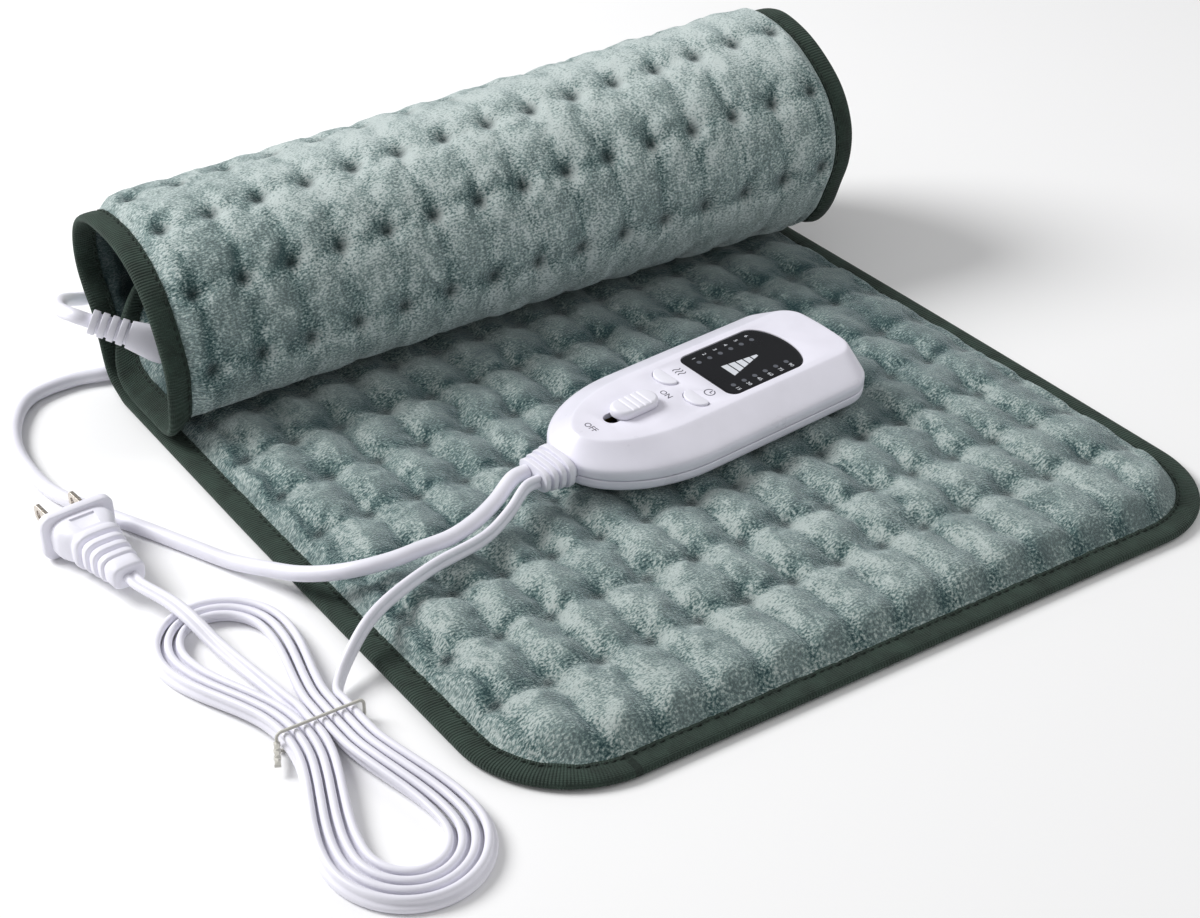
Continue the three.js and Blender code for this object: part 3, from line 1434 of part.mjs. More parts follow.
// Pad assembly
const pad = new THREE.Group();
let backQuilt = solid(tuftedCover(-1));
thermostatPlaceShares.forEach((place) => {
  backQuilt = backQuilt.subtract(solid(thermostatBox(place, seatGap)));
});
pad.add(part('face_cover', tuftedCover(1), velvet));
pad.add(part('back_cover', geometryOf(backQuilt), velvetBack));
pad.add(part('edge_binding', edgeBinding(), bandCloth));
pad.add(part('element_sheet', elementSheet(), feltCloth));
pad.add(part('heating_wire', heatingWire(), heaterSleeve));
thermostatPlaceShares.forEach((place, i) => {
  pad.add(part(`thermostat_${i + 1}`, thermostatBox(place, 0), switchPlastic));
});
const boot = part('pad_boot', padBoot(), softPlastic);
boot.position.copy(bootAxisFrom);
boot.quaternion.setFromUnitVectors(new THREE.Vector3(1, 0, 0), bootRun.clone().normalize());

// Controller assembly, lying on the crests of the quilt
const handset = new THREE.Group();
const restHalfWidth = handsetHalfWidth - bottomInset;
const handsetZ = padMid + faceCrest + seatGap + restHalfWidth * Math.sin(handsetTilt);
handset.position.set(handsetX, handsetY, handsetZ);
handset.rotation.set(handsetTilt, 0, handsetYaw, 'ZYX');
handset.add(part('top_shell', geometryOf(topShell()), shellPlastic));
handset.add(part('bottom_shell', geometryOf(bottomShell()), shellPlastic));
const lensTop = handsetHeight - lensRecess;
const lensBottom = handsetHeight - windowDepth + seatGap;
const lens = slab(windowShape(-seatGap), lensBottom, lensTop, 10);
handset.add(part('display_lens', lens, lensPlastic));
handset.add(part('slide_knob', slideKnob(), softPlastic));
handset.add(part('switch_lever', switchLever(), plungerPlastic));
[['heat', buttonV], ['timer', -buttonV]].forEach(([name, v]) => {
  handset.add(part(`${name}_button`, pushButton(v), softPlastic));
  const plunger = disc(plungerRadius, plungerBottom, plungerTop, buttonU, v, 12);
  handset.add(part(`${name}_plunger`, plunger, plungerPlastic));
  handset.add(part(`${name}_switch`, tactSwitch(v), switchPlastic));
});
handset.add(part('circuit_board', circuitBoard(), boardGreen));
handset.add(part('slide_switch', slideSwitch(), switchPlastic));
handset.add(part('light_frame', lightFrame(), softPlastic));
handset.add(part('indicator_leds', indicatorLeds(), ledEpoxy));
handset.add(part('triac', onBoard(triacSize, triacPlace), darkPlastic));
handset.add(part('capacitor', onBoard(capacitorSize, capacitorPlace), capPlastic));
const [chipLength, chipWidth, chipHeight] = chipSize;
const chipTop = boardSeat - seatGap;
const chip = block(chipLength, chipWidth, chipTop - chipHeight, chipTop, ...chipPlace);
handset.add(part('chip', chip, darkPlastic));
screwPlaces.forEach((place, i) => {
  handset.add(part(`case_screw_${i + 1}`, caseScrew(place), steel));
});
handset.add(part('strain_relief', strainRelief(), softPlastic));

// Plug assembly, lying on its flange
const plug = new THREE.Group();
plug.position.set(plugX, plugY, plugAxisHeight);
plug.rotation.z = plugYaw + 2 * quarterTurn;
plug.add(part('plug_body', plugBodySolid(), softPlastic));
plug.add(part('plug_blade_left', plugBlade(-1), bladeMetal));
plug.add(part('plug_blade_right', plugBlade(1), bladeMetal));

// Cord routes, as places on the table beside the pad
handset.updateMatrixWorld(true);
plug.updateMatrixWorld(true);
boot.updateMatrixWorld(true);
const onHandset = (u, v, w) => new THREE.Vector3(u, v, w).applyMatrix4(handset.matrixWorld);
const onPlug = (x) => new THREE.Vector3(x, 0, 0).applyMatrix4(plug.matrixWorld);
const cordStart = -reliefEnd - seatGap;
const padCordPoints = [
  onHandset(cordStart, roundCordSide, reliefAxis),
  onHandset(cordStart - 2 * padCordRadius, roundCordSide, reliefAxis),
  ...padCordRoute.map((place) => new THREE.Vector3(...place)),
];
const bootLength = bootBase[bootBase.length - 1][0] + bootRibs * bootRibPitch;
const onBoot = (x) => new THREE.Vector3(x, 0, 0).applyMatrix4(boot.matrixWorld);
padCordPoints.push(onBoot(bootLength + seatGap + 2 * padCordRadius), onBoot(bootLength + seatGap));

const hank = hankFrames();
const hankStart = hank[0];
const hankFinish = hank[hank.length - 1];
const { least, length: hankLength } = leastGap(hank, flatSection(6));
console.log(`least gap of the hank's strand to itself ${least.toFixed(2)} mm`);
console.log(`length of cord in the hank ${hankLength.toFixed(0)} mm`);

const cords = new THREE.Group();
const padCord = roundCord(padCordPoints, padCordRadius, padCordSides, padCordSteps);
cords.add(part('pad_cord', padCord, softPlastic));
cords.add(part('power_hank', sweep(hank, flatSection(6)), softPlastic));

const straightRun = flatCordWidth;
const station = (point, roll) => [point.x, point.y, point.z, roll];
const inRadians = ([x, y, z, degrees]) => [x, y, z, THREE.MathUtils.degToRad(degrees)];
function besideHank(frame, towardY, distance) {
  const shift = new THREE.Vector3(0, towardY * distance, 0);
  return station(frame.point.clone().add(shift), waistRoll);
}
const leadStations = [
  station(onHandset(cordStart, flatCordSide, reliefAxis), quarterTurn),
  station(onHandset(cordStart - straightRun, flatCordSide, reliefAxis), quarterTurn),
  ...leadRoute.map(inRadians),
  besideHank(hankStart, 1, seatGap + straightRun), besideHank(hankStart, 1, seatGap),
];
const plugEnd = plugSleeve[plugSleeve.length - 1][0];
const tailStations = [
  besideHank(hankFinish, 1, seatGap), besideHank(hankFinish, 1, seatGap + straightRun),
  ...tailRoute.map(inRadians),
  station(onPlug(plugEnd + seatGap + straightRun), 0), station(onPlug(plugEnd + seatGap), 0),
];
cords.add(part('power_lead', flatCord(leadStations, leadSteps), softPlastic));
cords.add(part('power_tail', flatCord(tailStations, tailSteps), softPlastic));
cords.add(part('hank_tie', hankTie(), tieSleeve));

// The origin: the middle of the pad's footprint
const product = new THREE.Group();
product.add(pad, boot, handset, plug, cords);
const middle = new THREE.Box3().setFromObject(pad, true).getCenter(new THREE.Vector3());
product.position.set(-middle.x, -middle.y, 0);
const root = new THREE.Group();
root.add(product);
export default root;
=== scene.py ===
import bpy
import bmesh
import json
import math
import numpy as np
from mathutils import Matrix, Vector


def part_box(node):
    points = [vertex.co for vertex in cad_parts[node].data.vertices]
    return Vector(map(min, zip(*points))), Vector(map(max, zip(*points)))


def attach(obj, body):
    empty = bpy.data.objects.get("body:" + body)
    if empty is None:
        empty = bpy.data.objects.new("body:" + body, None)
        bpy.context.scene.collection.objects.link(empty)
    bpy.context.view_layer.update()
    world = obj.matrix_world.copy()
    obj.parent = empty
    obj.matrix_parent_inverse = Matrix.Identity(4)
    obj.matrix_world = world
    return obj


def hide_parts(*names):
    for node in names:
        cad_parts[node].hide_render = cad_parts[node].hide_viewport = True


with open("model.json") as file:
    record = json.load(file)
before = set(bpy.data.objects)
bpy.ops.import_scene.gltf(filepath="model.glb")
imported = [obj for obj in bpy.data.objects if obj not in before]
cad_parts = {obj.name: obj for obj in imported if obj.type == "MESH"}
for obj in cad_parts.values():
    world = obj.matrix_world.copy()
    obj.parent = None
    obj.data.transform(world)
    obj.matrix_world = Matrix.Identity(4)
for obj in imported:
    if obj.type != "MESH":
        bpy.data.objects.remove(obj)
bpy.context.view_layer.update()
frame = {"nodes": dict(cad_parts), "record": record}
nodes = frame["nodes"]
MM = 0.001
ORIGIN_X = 150.0
ORIGIN_Y = -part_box("edge_binding")[0].y / MM
scene = bpy.context.scene


# ---- helpers
def to_root(points):
    """Pad millimetres to metres in the shared frame."""
    p = np.array(points, float)
    p[..., 0] -= ORIGIN_X
    p[..., 1] -= ORIGIN_Y
    return p * MM


def add_object(name, data):
    ob = bpy.data.objects.new(name, data)
    scene.collection.objects.link(ob)
    return ob


def make_mesh(name, verts, faces, smooth=True):
    mesh = bpy.data.meshes.new(name)
    mesh.from_pydata([tuple(v) for v in np.asarray(verts, float)], [], faces)
    mesh.validate()
    mesh.update()
    if smooth:
        mesh.polygons.foreach_set("use_smooth", [True] * len(mesh.polygons))
    return add_object(name, mesh)


def sharp_by_angle(ob, degrees):
    """Marks edges sharper than an angle, so that flat faces and bevels shade apart."""
    bm = bmesh.new()
    bm.from_mesh(ob.data)
    limit = math.radians(degrees)
    for edge in bm.edges:
        if len(edge.link_faces) == 2:
            edge.smooth = edge.calc_face_angle(0.0) < limit
    for face in bm.faces:
        face.smooth = True
    bm.to_mesh(ob.data)
    bm.free()


def face_outward(ob):
    bm = bmesh.new()
    bm.from_mesh(ob.data)
    bmesh.ops.recalc_face_normals(bm, faces=bm.faces)
    bm.to_mesh(ob.data)
    bm.free()


def evaluated_mesh(ob):
    dg = bpy.context.evaluated_depsgraph_get()
    dg.update()
    return bpy.data.meshes.new_from_object(ob.evaluated_get(dg))


def apply_modifiers(ob):
    mesh = evaluated_mesh(ob)
    ob.modifiers.clear()
    ob.data = mesh


def set_bevel(ob, width, segments, angle):
    m = ob.modifiers.new("bevel", "BEVEL")
    m.width = width * MM
    m.segments = segments
    m.limit_method = "ANGLE"
    m.angle_limit = math.radians(angle)
    m.use_clamp_overlap = True


def ease_edges(ob, width, segments, angle, sharp):
    """Bevels the edges for good, then marks the sharp ones for shading."""
    set_bevel(ob, width, segments, angle)
    apply_modifiers(ob)
    sharp_by_angle(ob, sharp)


def cut(ob, cutter, operation="DIFFERENCE"):
    m = ob.modifiers.new("cut", "BOOLEAN")
    m.operation = operation
    m.solver = "EXACT"
    m.object = cutter
    apply_modifiers(ob)
    bpy.data.objects.remove(cutter)


def loft_faces(ring_count, n, closed=False):
    faces = []
    for r in range(ring_count if closed else ring_count - 1):
        a0, b0 = r * n, ((r + 1) % ring_count) * n
        for i in range(n):
            j = (i + 1) % n
            faces.append((a0 + i, a0 + j, b0 + j, b0 + i))
    if not closed:
        faces.append(tuple(range(n))[::-1])
        faces.append(tuple((ring_count - 1) * n + i for i in range(n)))
    return faces


def loft(name, rings):
    rings = np.asarray(rings, float)
    return make_mesh(name, rings.reshape(-1, 3), loft_faces(*rings.shape[:2]))


def rounded_levels(rings, amounts, steps):
    """Rounds the corners between rings of equal count: each inner ring has a fillet length in mm."""
    out = [rings[0]]
    for before, here, after, amount in zip(rings, rings[1:], rings[2:], amounts[1:]):
        if amount <= 0:
            out.append(here)
            continue
        ends = []
        for gap in (before - here, after - here):
            length = np.maximum(np.linalg.norm(gap, axis=1, keepdims=True), 1e-9)
            ends.append(here + gap * np.minimum(amount / length, 0.48))
        for k in range(steps + 1):
            t = k / steps
            out.append((1 - t) ** 2 * ends[0] + 2 * t * (1 - t) * here + t * t * ends[1])
    out.append(rings[-1])
    return out


def arc(cx, cy, rx, ry, start, stop, steps):
    a = np.radians(np.linspace(start, stop, steps))
    return np.column_stack([cx + rx * np.cos(a), cy + ry * np.sin(a)])


def centripetal(points, per_segment):
    """A centripetal Catmull-Rom curve, as in the part's source; columns past the third follow linearly."""
    p = np.array(points, float)
    ext = np.vstack([2 * p[0] - p[1], p, 2 * p[-1] - p[-2]])
    out = []
    for i in range(len(p) - 1):
        p0, p1, p2, p3 = ext[i : i + 4]
        d = [max(np.linalg.norm((b - a)[:3]) ** 0.5, 1e-4) for a, b in ((p0, p1), (p1, p2), (p2, p3))]
        m1 = ((p1 - p0) / d[0] - (p2 - p0) / (d[0] + d[1]) + (p2 - p1) / d[1]) * d[1]
        m2 = ((p2 - p1) / d[1] - (p3 - p1) / (d[1] + d[2]) + (p3 - p2) / d[2]) * d[1]
        for k in range(per_segment):
            t = k / per_segment
            h = [2 * t**3 - 3 * t**2 + 1, t**3 - 2 * t**2 + t, -2 * t**3 + 3 * t**2, t**3 - t**2]
            out.append(h[0] * p1 + h[1] * m1 + h[2] * p2 + h[3] * m2)
    out.append(p[-1])
    return np.array(out)


def run_length(points):
    """Distance along a polyline at each of its points; only x, y and z count."""
    return np.concatenate([[0], np.cumsum(np.linalg.norm(np.diff(points[:, :3], axis=0), axis=1))])


def resample(points, count):
    p = np.asarray(points, float)
    run = run_length(p)
    want = np.linspace(0, run[-1], count)
    return np.stack([np.interp(want, run, p[:, k]) for k in range(p.shape[1])], axis=1), run[-1]


def unit(t):
    return np.clip(t, 0, 1)


def smooth(t):
    """Eases a share of 0 to 1 in and out."""
    return t * t * (3 - 2 * t)


def waves(x, y, seed, size, octaves=3):
    """Smooth seeded noise of about -1 to 1 from sums of sines; size is its longest wave in mm."""
    rng = np.random.RandomState(seed)
    total = np.zeros_like(x)
    amp, norm = 1.0, 0.0
    for _ in range(octaves):
        for _ in range(5):
            angle = rng.uniform(0, math.tau)
            k = math.tau / (size * rng.uniform(0.7, 1.4))
            along = x * math.cos(angle) + y * math.sin(angle)
            total += amp * np.sin(k * along + rng.uniform(0, math.tau))
        norm += amp * 1.9
        amp *= 0.5
        size *= 0.5
    return total / norm


# ---- materials
def set_inputs(node, values):
    for name, value in values.items():
        node.inputs[name].default_value = value


def new_material(name, base, rough, metal=0.0):
    mat = bpy.data.materials.new(name)
    mat.use_nodes = True
    mat.diffuse_color = (*base, 1)
    bsdf = mat.node_tree.nodes["Principled BSDF"]
    set_inputs(bsdf, {"Base Color": (*base, 1), "Roughness": rough, "Metallic": metal})
    return mat, mat.node_tree, bsdf


def linear(hex_colour):
    rgb = [int(hex_colour[i : i + 2], 16) / 255 for i in (0, 2, 4)]
    return tuple(c / 12.92 if c <= 0.04045 else ((c + 0.055) / 1.055) ** 2.4 for c in rgb)


def noise(nt, scale, detail, rough, vector, distortion=0.0):
    n = nt.nodes.new("ShaderNodeTexNoise")
    set_inputs(n, {"Scale": scale, "Detail": detail, "Roughness": rough, "Distortion": distortion})
    nt.links.new(vector, n.inputs["Vector"])
    return n.outputs["Fac"]


def ramp(nt, fac, stops):
    r = nt.nodes.new("ShaderNodeValToRGB")
    nt.links.new(fac, r.inputs["Fac"])
    elements = r.color_ramp.elements
    while len(elements) < len(stops):
        elements.new(0.5)
    for e, (pos, colour) in zip(elements, stops):
        e.position = pos
        e.color = (*colour, 1)
    return r.outputs["Color"]


def spread(nt, fac, low, high):
    """Noise of 0.3 to 0.7, stretched to low to high."""
    m = nt.nodes.new("ShaderNodeMapRange")
    nt.links.new(fac, m.inputs["Value"])
    set_inputs(m, {"From Min": 0.3, "From Max": 0.7, "To Min": low, "To Max": high})
    return m.outputs["Result"]


def bump(nt, bsdf, height, strength, distance):
    b = nt.nodes.new("ShaderNodeBump")
    set_inputs(b, {"Strength": strength, "Distance": distance})
    nt.links.new(height, b.inputs["Height"])
    nt.links.new(b.outputs["Normal"], bsdf.inputs["Normal"])


def lay_over(nt, share, under, over):
    """A plain colour laid over a colour socket, by a share socket."""
    m = nt.nodes.new("ShaderNodeMix")
    m.data_type = "RGBA"
    nt.links.new(share, m.inputs[0])
    nt.links.new(under, m.inputs[6])
    m.inputs[7].default_value = (*over, 1)
    return m.outputs[2]


def math_node(nt, op, a, b=None):
    m = nt.nodes.new("ShaderNodeMath")
    m.operation = op
    for i, value in enumerate((a, b)):
        if isinstance(value, bpy.types.NodeSocket):
            nt.links.new(value, m.inputs[i])
        elif value is not None:
            m.inputs[i].default_value = value
    return m.outputs[0]


def weighted(nt, *parts):
    """The sum of sockets, each times its weight."""
    terms = [math_node(nt, "MULTIPLY", socket, weight) for socket, weight in parts]
    total = terms[0]
    for term in terms[1:]:
        total = math_node(nt, "ADD", total, term)
    return total


def attribute(nt, name, output="Fac"):
    n = nt.nodes.new("ShaderNodeAttribute")
    n.attribute_name = name
    return n.outputs[output]


def object_place(nt):
    return nt.nodes.new("ShaderNodeTexCoord").outputs["Object"]


def stretched(nt, vector, scale):
    m = nt.nodes.new("ShaderNodeMapping")
    m.inputs["Scale"].default_value = scale
    nt.links.new(vector, m.inputs["Vector"])
    return m.outputs["Vector"]


# Painted highlight on crests and painted shade in pits and creases: how much lighter and darker the velvet's
# colour is made there.
PAINTED_CREST_HIGHLIGHT, PAINTED_FOLD_SHADE = 1.25, 0.34
RIB_PITCH, WEAVE_PITCH = 1.15, 0.7
MOTTLE, MOULD_GRAIN = 0.02, 900.0


def velvet_material(name, dark, middle, light):
    """Short plush: its colour shifts where the pile is brushed, with tufts of pile and a sheen, and painted
    light and shade.
    """
    dark, middle, light = linear(dark), linear(middle), linear(light)
    mat, nt, bsdf = new_material(name, middle, 0.88)
    pile = attribute(nt, "pile", "Vector")
    brushed = noise(nt, 0.085, 5.0, 0.62, pile, 0.6)
    strokes = noise(nt, 0.32, 4.0, 0.6, stretched(nt, pile, (1.0, 0.35, 1.0)), 0.4)
    fibres = noise(nt, 1.0, 2.0, 0.6, stretched(nt, pile, (0.95, 1.5, 1.0)), 0.2)
    fine = noise(nt, 3.4, 2.0, 0.6, pile)
    # Part of the tone is painted light and shade by slope.
    tone = weighted(nt, (brushed, 0.26), (strokes, 0.2), (fibres, 0.54), (attribute(nt, "painted_slope_light"), 0.08))
    colour = ramp(nt, tone, [(0.415, dark), (0.5, middle), (0.585, light)])
    # Painted shading: above zero it mixes in a painted shade colour, below zero a painted highlight colour.
    painted_shading = attribute(nt, "painted_shading")
    painted_shade_share = math_node(nt, "MAXIMUM", painted_shading, 0.0)
    # Painted highlight on the crests, from where the painted shading is below zero.
    high = math_node(nt, "MAXIMUM", math_node(nt, "MULTIPLY", painted_shading, -1.0), 0.0)
    crest = tuple(min(1.0, c * PAINTED_CREST_HIGHLIGHT) for c in light)
    colour = lay_over(nt, math_node(nt, "MULTIPLY", high, 1.1), colour, crest)
    colour = lay_over(nt, painted_shade_share, colour, tuple(c * PAINTED_FOLD_SHADE for c in dark))
    nt.links.new(colour, bsdf.inputs["Base Color"])
    bump(nt, bsdf, weighted(nt, (fibres, 0.65), (fine, 0.35)), 0.9, 0.0011)
    set_inputs(bsdf, {"Sheen Weight": 1.0, "Sheen Roughness": 0.35, "Sheen Tint": (0.78, 0.87, 0.88, 1),
                      "Specular IOR Level": 0.2})
    return mat


def tape_material(name, base, light):
    """Woven binding tape: fine ribs across the tape, with slight fading."""
    base, light = linear(base), linear(light)
    mat, nt, bsdf = new_material(name, base, 0.75)
    pile = attribute(nt, "pile", "Vector")
    axes = nt.nodes.new("ShaderNodeSeparateXYZ")
    nt.links.new(pile, axes.inputs[0])
    rib, cross = [math_node(nt, "SINE", math_node(nt, "MULTIPLY", axes.outputs[axis], math.tau / pitch))
                  for axis, pitch in (("X", RIB_PITCH), ("Y", WEAVE_PITCH))]
    worn, fuzz = noise(nt, 0.12, 4.0, 0.6, pile), noise(nt, 2.5, 2.0, 0.6, pile)
    tone = weighted(nt, (worn, 0.6), (fuzz, 0.4))
    nt.links.new(ramp(nt, tone, [(0.35, base), (0.7, light)]), bsdf.inputs["Base Color"])
    nt.links.new(spread(nt, worn, 0.7, 0.84), bsdf.inputs["Roughness"])
    bump(nt, bsdf, weighted(nt, (rib, 0.35), (cross, 0.15), (fuzz, 0.5)), 0.9, 0.0005)
    set_inputs(bsdf, {"Sheen Weight": 0.12, "Sheen Tint": (0.5, 0.62, 0.55, 1), "Specular IOR Level": 0.25})
    return mat


def plastic_material(name, colour, rough, grain=0.12, coat=0.0, specular=0.5):
    """Moulded plastic: faint mottling, a slightly uneven gloss and a very fine mould grain."""
    base = linear(colour)
    mat, nt, bsdf = new_material(name, base, rough)
    place = object_place(nt)
    cloud = noise(nt, 60.0, 3.0, 0.5, place)
    shade = tuple(max(0.0, c * (1 - MOTTLE * 3) - MOTTLE * 0.1) for c in base)
    nt.links.new(ramp(nt, cloud, [(0.3, shade), (0.6, base)]), bsdf.inputs["Base Color"])
    nt.links.new(spread(nt, cloud, rough * 0.85, min(1.0, rough * 1.2)), bsdf.inputs["Roughness"])
    bump(nt, bsdf, noise(nt, MOULD_GRAIN, 2.0, 0.5, place), grain, 0.00005)
    set_inputs(bsdf, {"Coat Weight": coat, "Specular IOR Level": specular})
    return mat


def metal_material(name, colour, rough):
    base = linear(colour)
    mat, nt, bsdf = new_material(name, base, rough, 1.0)
    lines = noise(nt, 160.0, 3.0, 0.6, stretched(nt, object_place(nt), (1.0, 12.0, 12.0)))
    dull = tuple(c * 0.78 for c in base)
    nt.links.new(ramp(nt, lines, [(0.3, dull), (0.65, base)]), bsdf.inputs["Base Color"])
    nt.links.new(spread(nt, lines, rough * 0.7, rough * 1.5), bsdf.inputs["Roughness"])
    bump(nt, bsdf, lines, 0.12, 0.00004)
    return mat


def felt_material(name, colour):
    base = linear(colour)
    mat, nt, bsdf = new_material(name, base, 0.95)
    fibres = noise(nt, 1400.0, 3.0, 0.7, object_place(nt))
    shade = tuple(c * 0.8 for c in base)
    nt.links.new(ramp(nt, fibres, [(0.3, shade), (0.65, base)]), bsdf.inputs["Base Color"])
    bump(nt, bsdf, fibres, 0.5, 0.0003)
    return mat


PLASTICS = {
    "white_shell": ("white_shell_plastic", "f0eefa", 0.32, 0.1, 0.1),
    "white_soft": ("white_soft_plastic", "edecf6", 0.42, 0.15),
    "dark_lens": ("smoked_lens", "0c0d13", 0.3, 0.02, 0.0, 0.3),
    "dark_plastic": ("black_plastic", "2b2b2f", 0.45),
    "red_plastic": ("red_plastic", "c23b32", 0.4),
    "yellow_film": ("yellow_film", "e0b13a", 0.35),
    "board": ("board_green", "2f6b47", 0.4),
    "led_epoxy": ("led_epoxy", "f2efe2", 0.25),
    "heater_sleeve": ("heater_sleeve", "b9a98c", 0.6),
    "thermostat_sleeve": ("thermostat_sleeve", "3a3a3e", 0.6),
    "tie_sleeve": ("tie_sleeve", "c9c7bf", 0.5),
    "print_grey": ("print_grey", "64626e", 0.55),
    "print_white": ("print_white", "dadde4", 0.5),
    "print_dim": ("print_dim", "5b5e66", 0.4),
}
MAT = {
    "velvet": velvet_material("velvet_pile", "2f4b4e", "6f8886", "c2cdca"),
    # A lighter copy of the face velvet for the back cover, which forms the roll's outside: painted light.
    "velvet_back": velvet_material("velvet_pile_back_painted_lighter", "375253", "809896", "d0dbd9"),
    "binding": tape_material("binding_tape_cloth", "1d2822", "3b4d44"),
    "thread": felt_material("stitch_thread", "1f2b25"),
    "felt": felt_material("white_felt", "d9d8d0"),
    "screw_steel": metal_material("plated_steel", "b9bbbf", 0.3),
    "blade_metal": metal_material("nickel_blade", "d8cfc4", 0.24),
    **{slot: plastic_material(*row) for slot, row in PLASTICS.items()},
}


def finish_piece(ob, slot, body="pad", replaced=(), material=None):
    ob.data.materials.clear()
    ob.data.materials.append(MAT[material or slot])
    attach(ob, body)
    if replaced:
        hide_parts(*replaced)
    return ob


# ---- pad
# The sizes of the part's source: width and flat length, corners and tufts, heights of the cloth above and
# below its middle surface, shares of them under, round and at the end of the roll, and the roll's two ends.
PAD_W, FLAT = 300.0, 286.0
CORNER, MARGIN_X, MARGIN_S = 40.0, 16.7, 45.3
COLS, ROWS = 15, 18
FACE_CREST, BACK_CREST, FLAT_CUT = 6.6, 7.0, 0.5
INNER_FACE, INNER_BACK = 1.5, 1.9
UNDER, WALL, FLAP = 0.7, 0.82, 0.68
DEPTH_L, HEIGHT_L, DEPTH_R, HEIGHT_R = 78.0, 66.5, 84.0, 89.0
LAYER_GAP, FLAP_EASE = 2.2, 2.0
# How the cloth gives: its edge sags to the table, the roll's lower layer drops at both ends, the front is
# drawn in and the roll's right end leans out.
SAG, SAG_FROM, SAG_REACH = 4.4, 6.0, 20.0
DROP_L, DROP_R, DROP_REACH = 10.0, 5.0, 18.0
PULL_FRONT, PULL_SIDE, PULL_REACH = 3.0, 2.4, 190.0
ROLL_RIGHT, ROLL_RIGHT_REACH = 2.0, 80.0
EDGE_CLOTH, BAND = 0.9, 8.6
# Each row: place along the depth, height, and how much of the lower layer's lift it has, as shares.
ROLL_L = [
    [0, 0, 0], [0.154, 0.05, 0], [0.218, 0.22, 0], [0.263, 0.376, 0], [0.328, 0.474, 0],
    [0.385, 0.609, 0], [0.385, 0.767, 0], [0.327, 0.895, 0], [0.205, 0.977, 0],
    [0.026, 1, 0], [-0.18, 0.977, 0], [-0.346, 0.895, 0], [-0.468, 0.767, 0],
    [-0.551, 0.609, 0], [-0.609, 0.444, 0], [-0.605, 0.27, 0.1], [-0.572, 0.06, 0.85],
    [-0.487, 0, 1], [-0.359, 0, 1], [-0.24, 0, 1], [-0.135, 0.003, 1], [-0.012, 0.036, 1],
    [0.086, 0.131, 1], [0.14, 0.265, 1], [0.138, 0.414, 1], [0.108, 0.5, 1],
]
ROLL_R = [
    [0, 0, 0], [0.155, 0.05, 0], [0.25, 0.185, 0], [0.298, 0.376, 0], [0.298, 0.579, 0],
    [0.232, 0.77, 0], [0.095, 0.921, 0], [-0.104, 1, 0], [-0.298, 0.974, 0],
    [-0.476, 0.893, 0], [-0.625, 0.772, 0], [-0.702, 0.618, 0], [-0.7, 0.466, 0],
    [-0.655, 0.33, 0.1], [-0.6, 0.17, 0.4], [-0.53, 0.05, 0.8], [-0.44, 0, 1],
    [-0.3, 0, 1], [-0.167, 0, 1], [-0.02, 0.03, 1], [0.095, 0.12, 1], [0.155, 0.22, 1],
    [0.167, 0.31, 1],
]
PAD_MID = BACK_CREST - FLAT_CUT
FLAP_LIFT = FACE_CREST * UNDER + BACK_CREST * FLAP + LAYER_GAP


def roll_curve(shares, depth, height):
    points = [[0, FLAT + a * depth, PAD_MID + up * height + lift * FLAP_LIFT, lift] for a, up, lift in shares]
    dense = centripetal(points, 40)
    return dense, run_length(dense)


CURVE_L, CURVE_R = roll_curve(ROLL_L, DEPTH_L, HEIGHT_L), roll_curve(ROLL_R, DEPTH_R, HEIGHT_R)
ROLLED = (CURVE_L[1][-1] + CURVE_R[1][-1]) / 2
PAD_L = FLAT + ROLLED
ROW_PITCH = (PAD_L - 2 * MARGIN_S) / (ROWS - 1)
COL_PITCH = (PAD_W - 2 * MARGIN_X) / (COLS - 1)
HALF_ROW = ROW_PITCH / 2


def edge_curve(curve, s):
    """Y, Z and share of the lower layer's lift along one side edge of the pad."""
    dense, run = curve
    share = unit((s - FLAT) / ROLLED) * run[-1]
    return np.stack([np.where(s <= FLAT, flat, np.interp(share, run, dense[:, k]))
                     for k, flat in ((1, s), (2, PAD_MID), (3, 0.0))], axis=-1)


def mid_point(x, s):
    """The middle surface between the covers, with the give of the cloth."""
    t = (x / PAD_W)[..., None]
    yz = edge_curve(CURVE_L, s) * (1 - t) + edge_curve(CURVE_R, s) * t
    left, right, lower = 1 - t[..., 0], t[..., 0], unit(yz[..., 2])
    drop = DROP_L + (DROP_R - DROP_L) * right
    yz[..., 1] -= drop * (1 - smooth(unit(np.minimum(x, PAD_W - x) / DROP_REACH))) * lower
    front = unit(1 - s / PULL_REACH) ** 1.5
    raised = unit((s - FLAT) / ROLL_RIGHT_REACH) * (1 - lower)
    yz[..., 0] += PULL_FRONT * left * front
    x = x + PULL_SIDE * (left - right) * front + ROLL_RIGHT * right * raised
    return np.concatenate([x[..., None], yz[..., :2]], axis=-1)


def pad_point(x, s, height, reach=2.0):
    """A point of the quilt: the middle surface at (x, s), raised along its normal."""
    x, s = np.broadcast_arrays(np.asarray(x, float), np.asarray(s, float))
    run = mid_point(x, np.minimum(s + reach, PAD_L)) - mid_point(x, np.maximum(s - reach, 0))
    run /= np.linalg.norm(run, axis=-1, keepdims=True)
    normal = np.stack([np.zeros_like(x), -run[..., 2], run[..., 1]], axis=-1)
    p = mid_point(x, s) + normal * np.asarray(height)[..., None]
    t = unit((edge_distance(x, s) - SAG_FROM) / (SAG_REACH - SAG_FROM))
    p[..., 2] -= SAG * (1 - smooth(t)) * (1 - unit((s - FLAT) / ROW_PITCH))
    return p


def edge_distance(x, s):
    fx, fs = np.minimum(x, PAD_W - x), np.minimum(s, PAD_L - s)
    inside = CORNER - np.hypot(np.maximum(CORNER - fx, 0), np.maximum(CORNER - fs, 0))
    return np.where((fx >= CORNER) | (fs >= CORNER), np.minimum(fx, fs), inside)


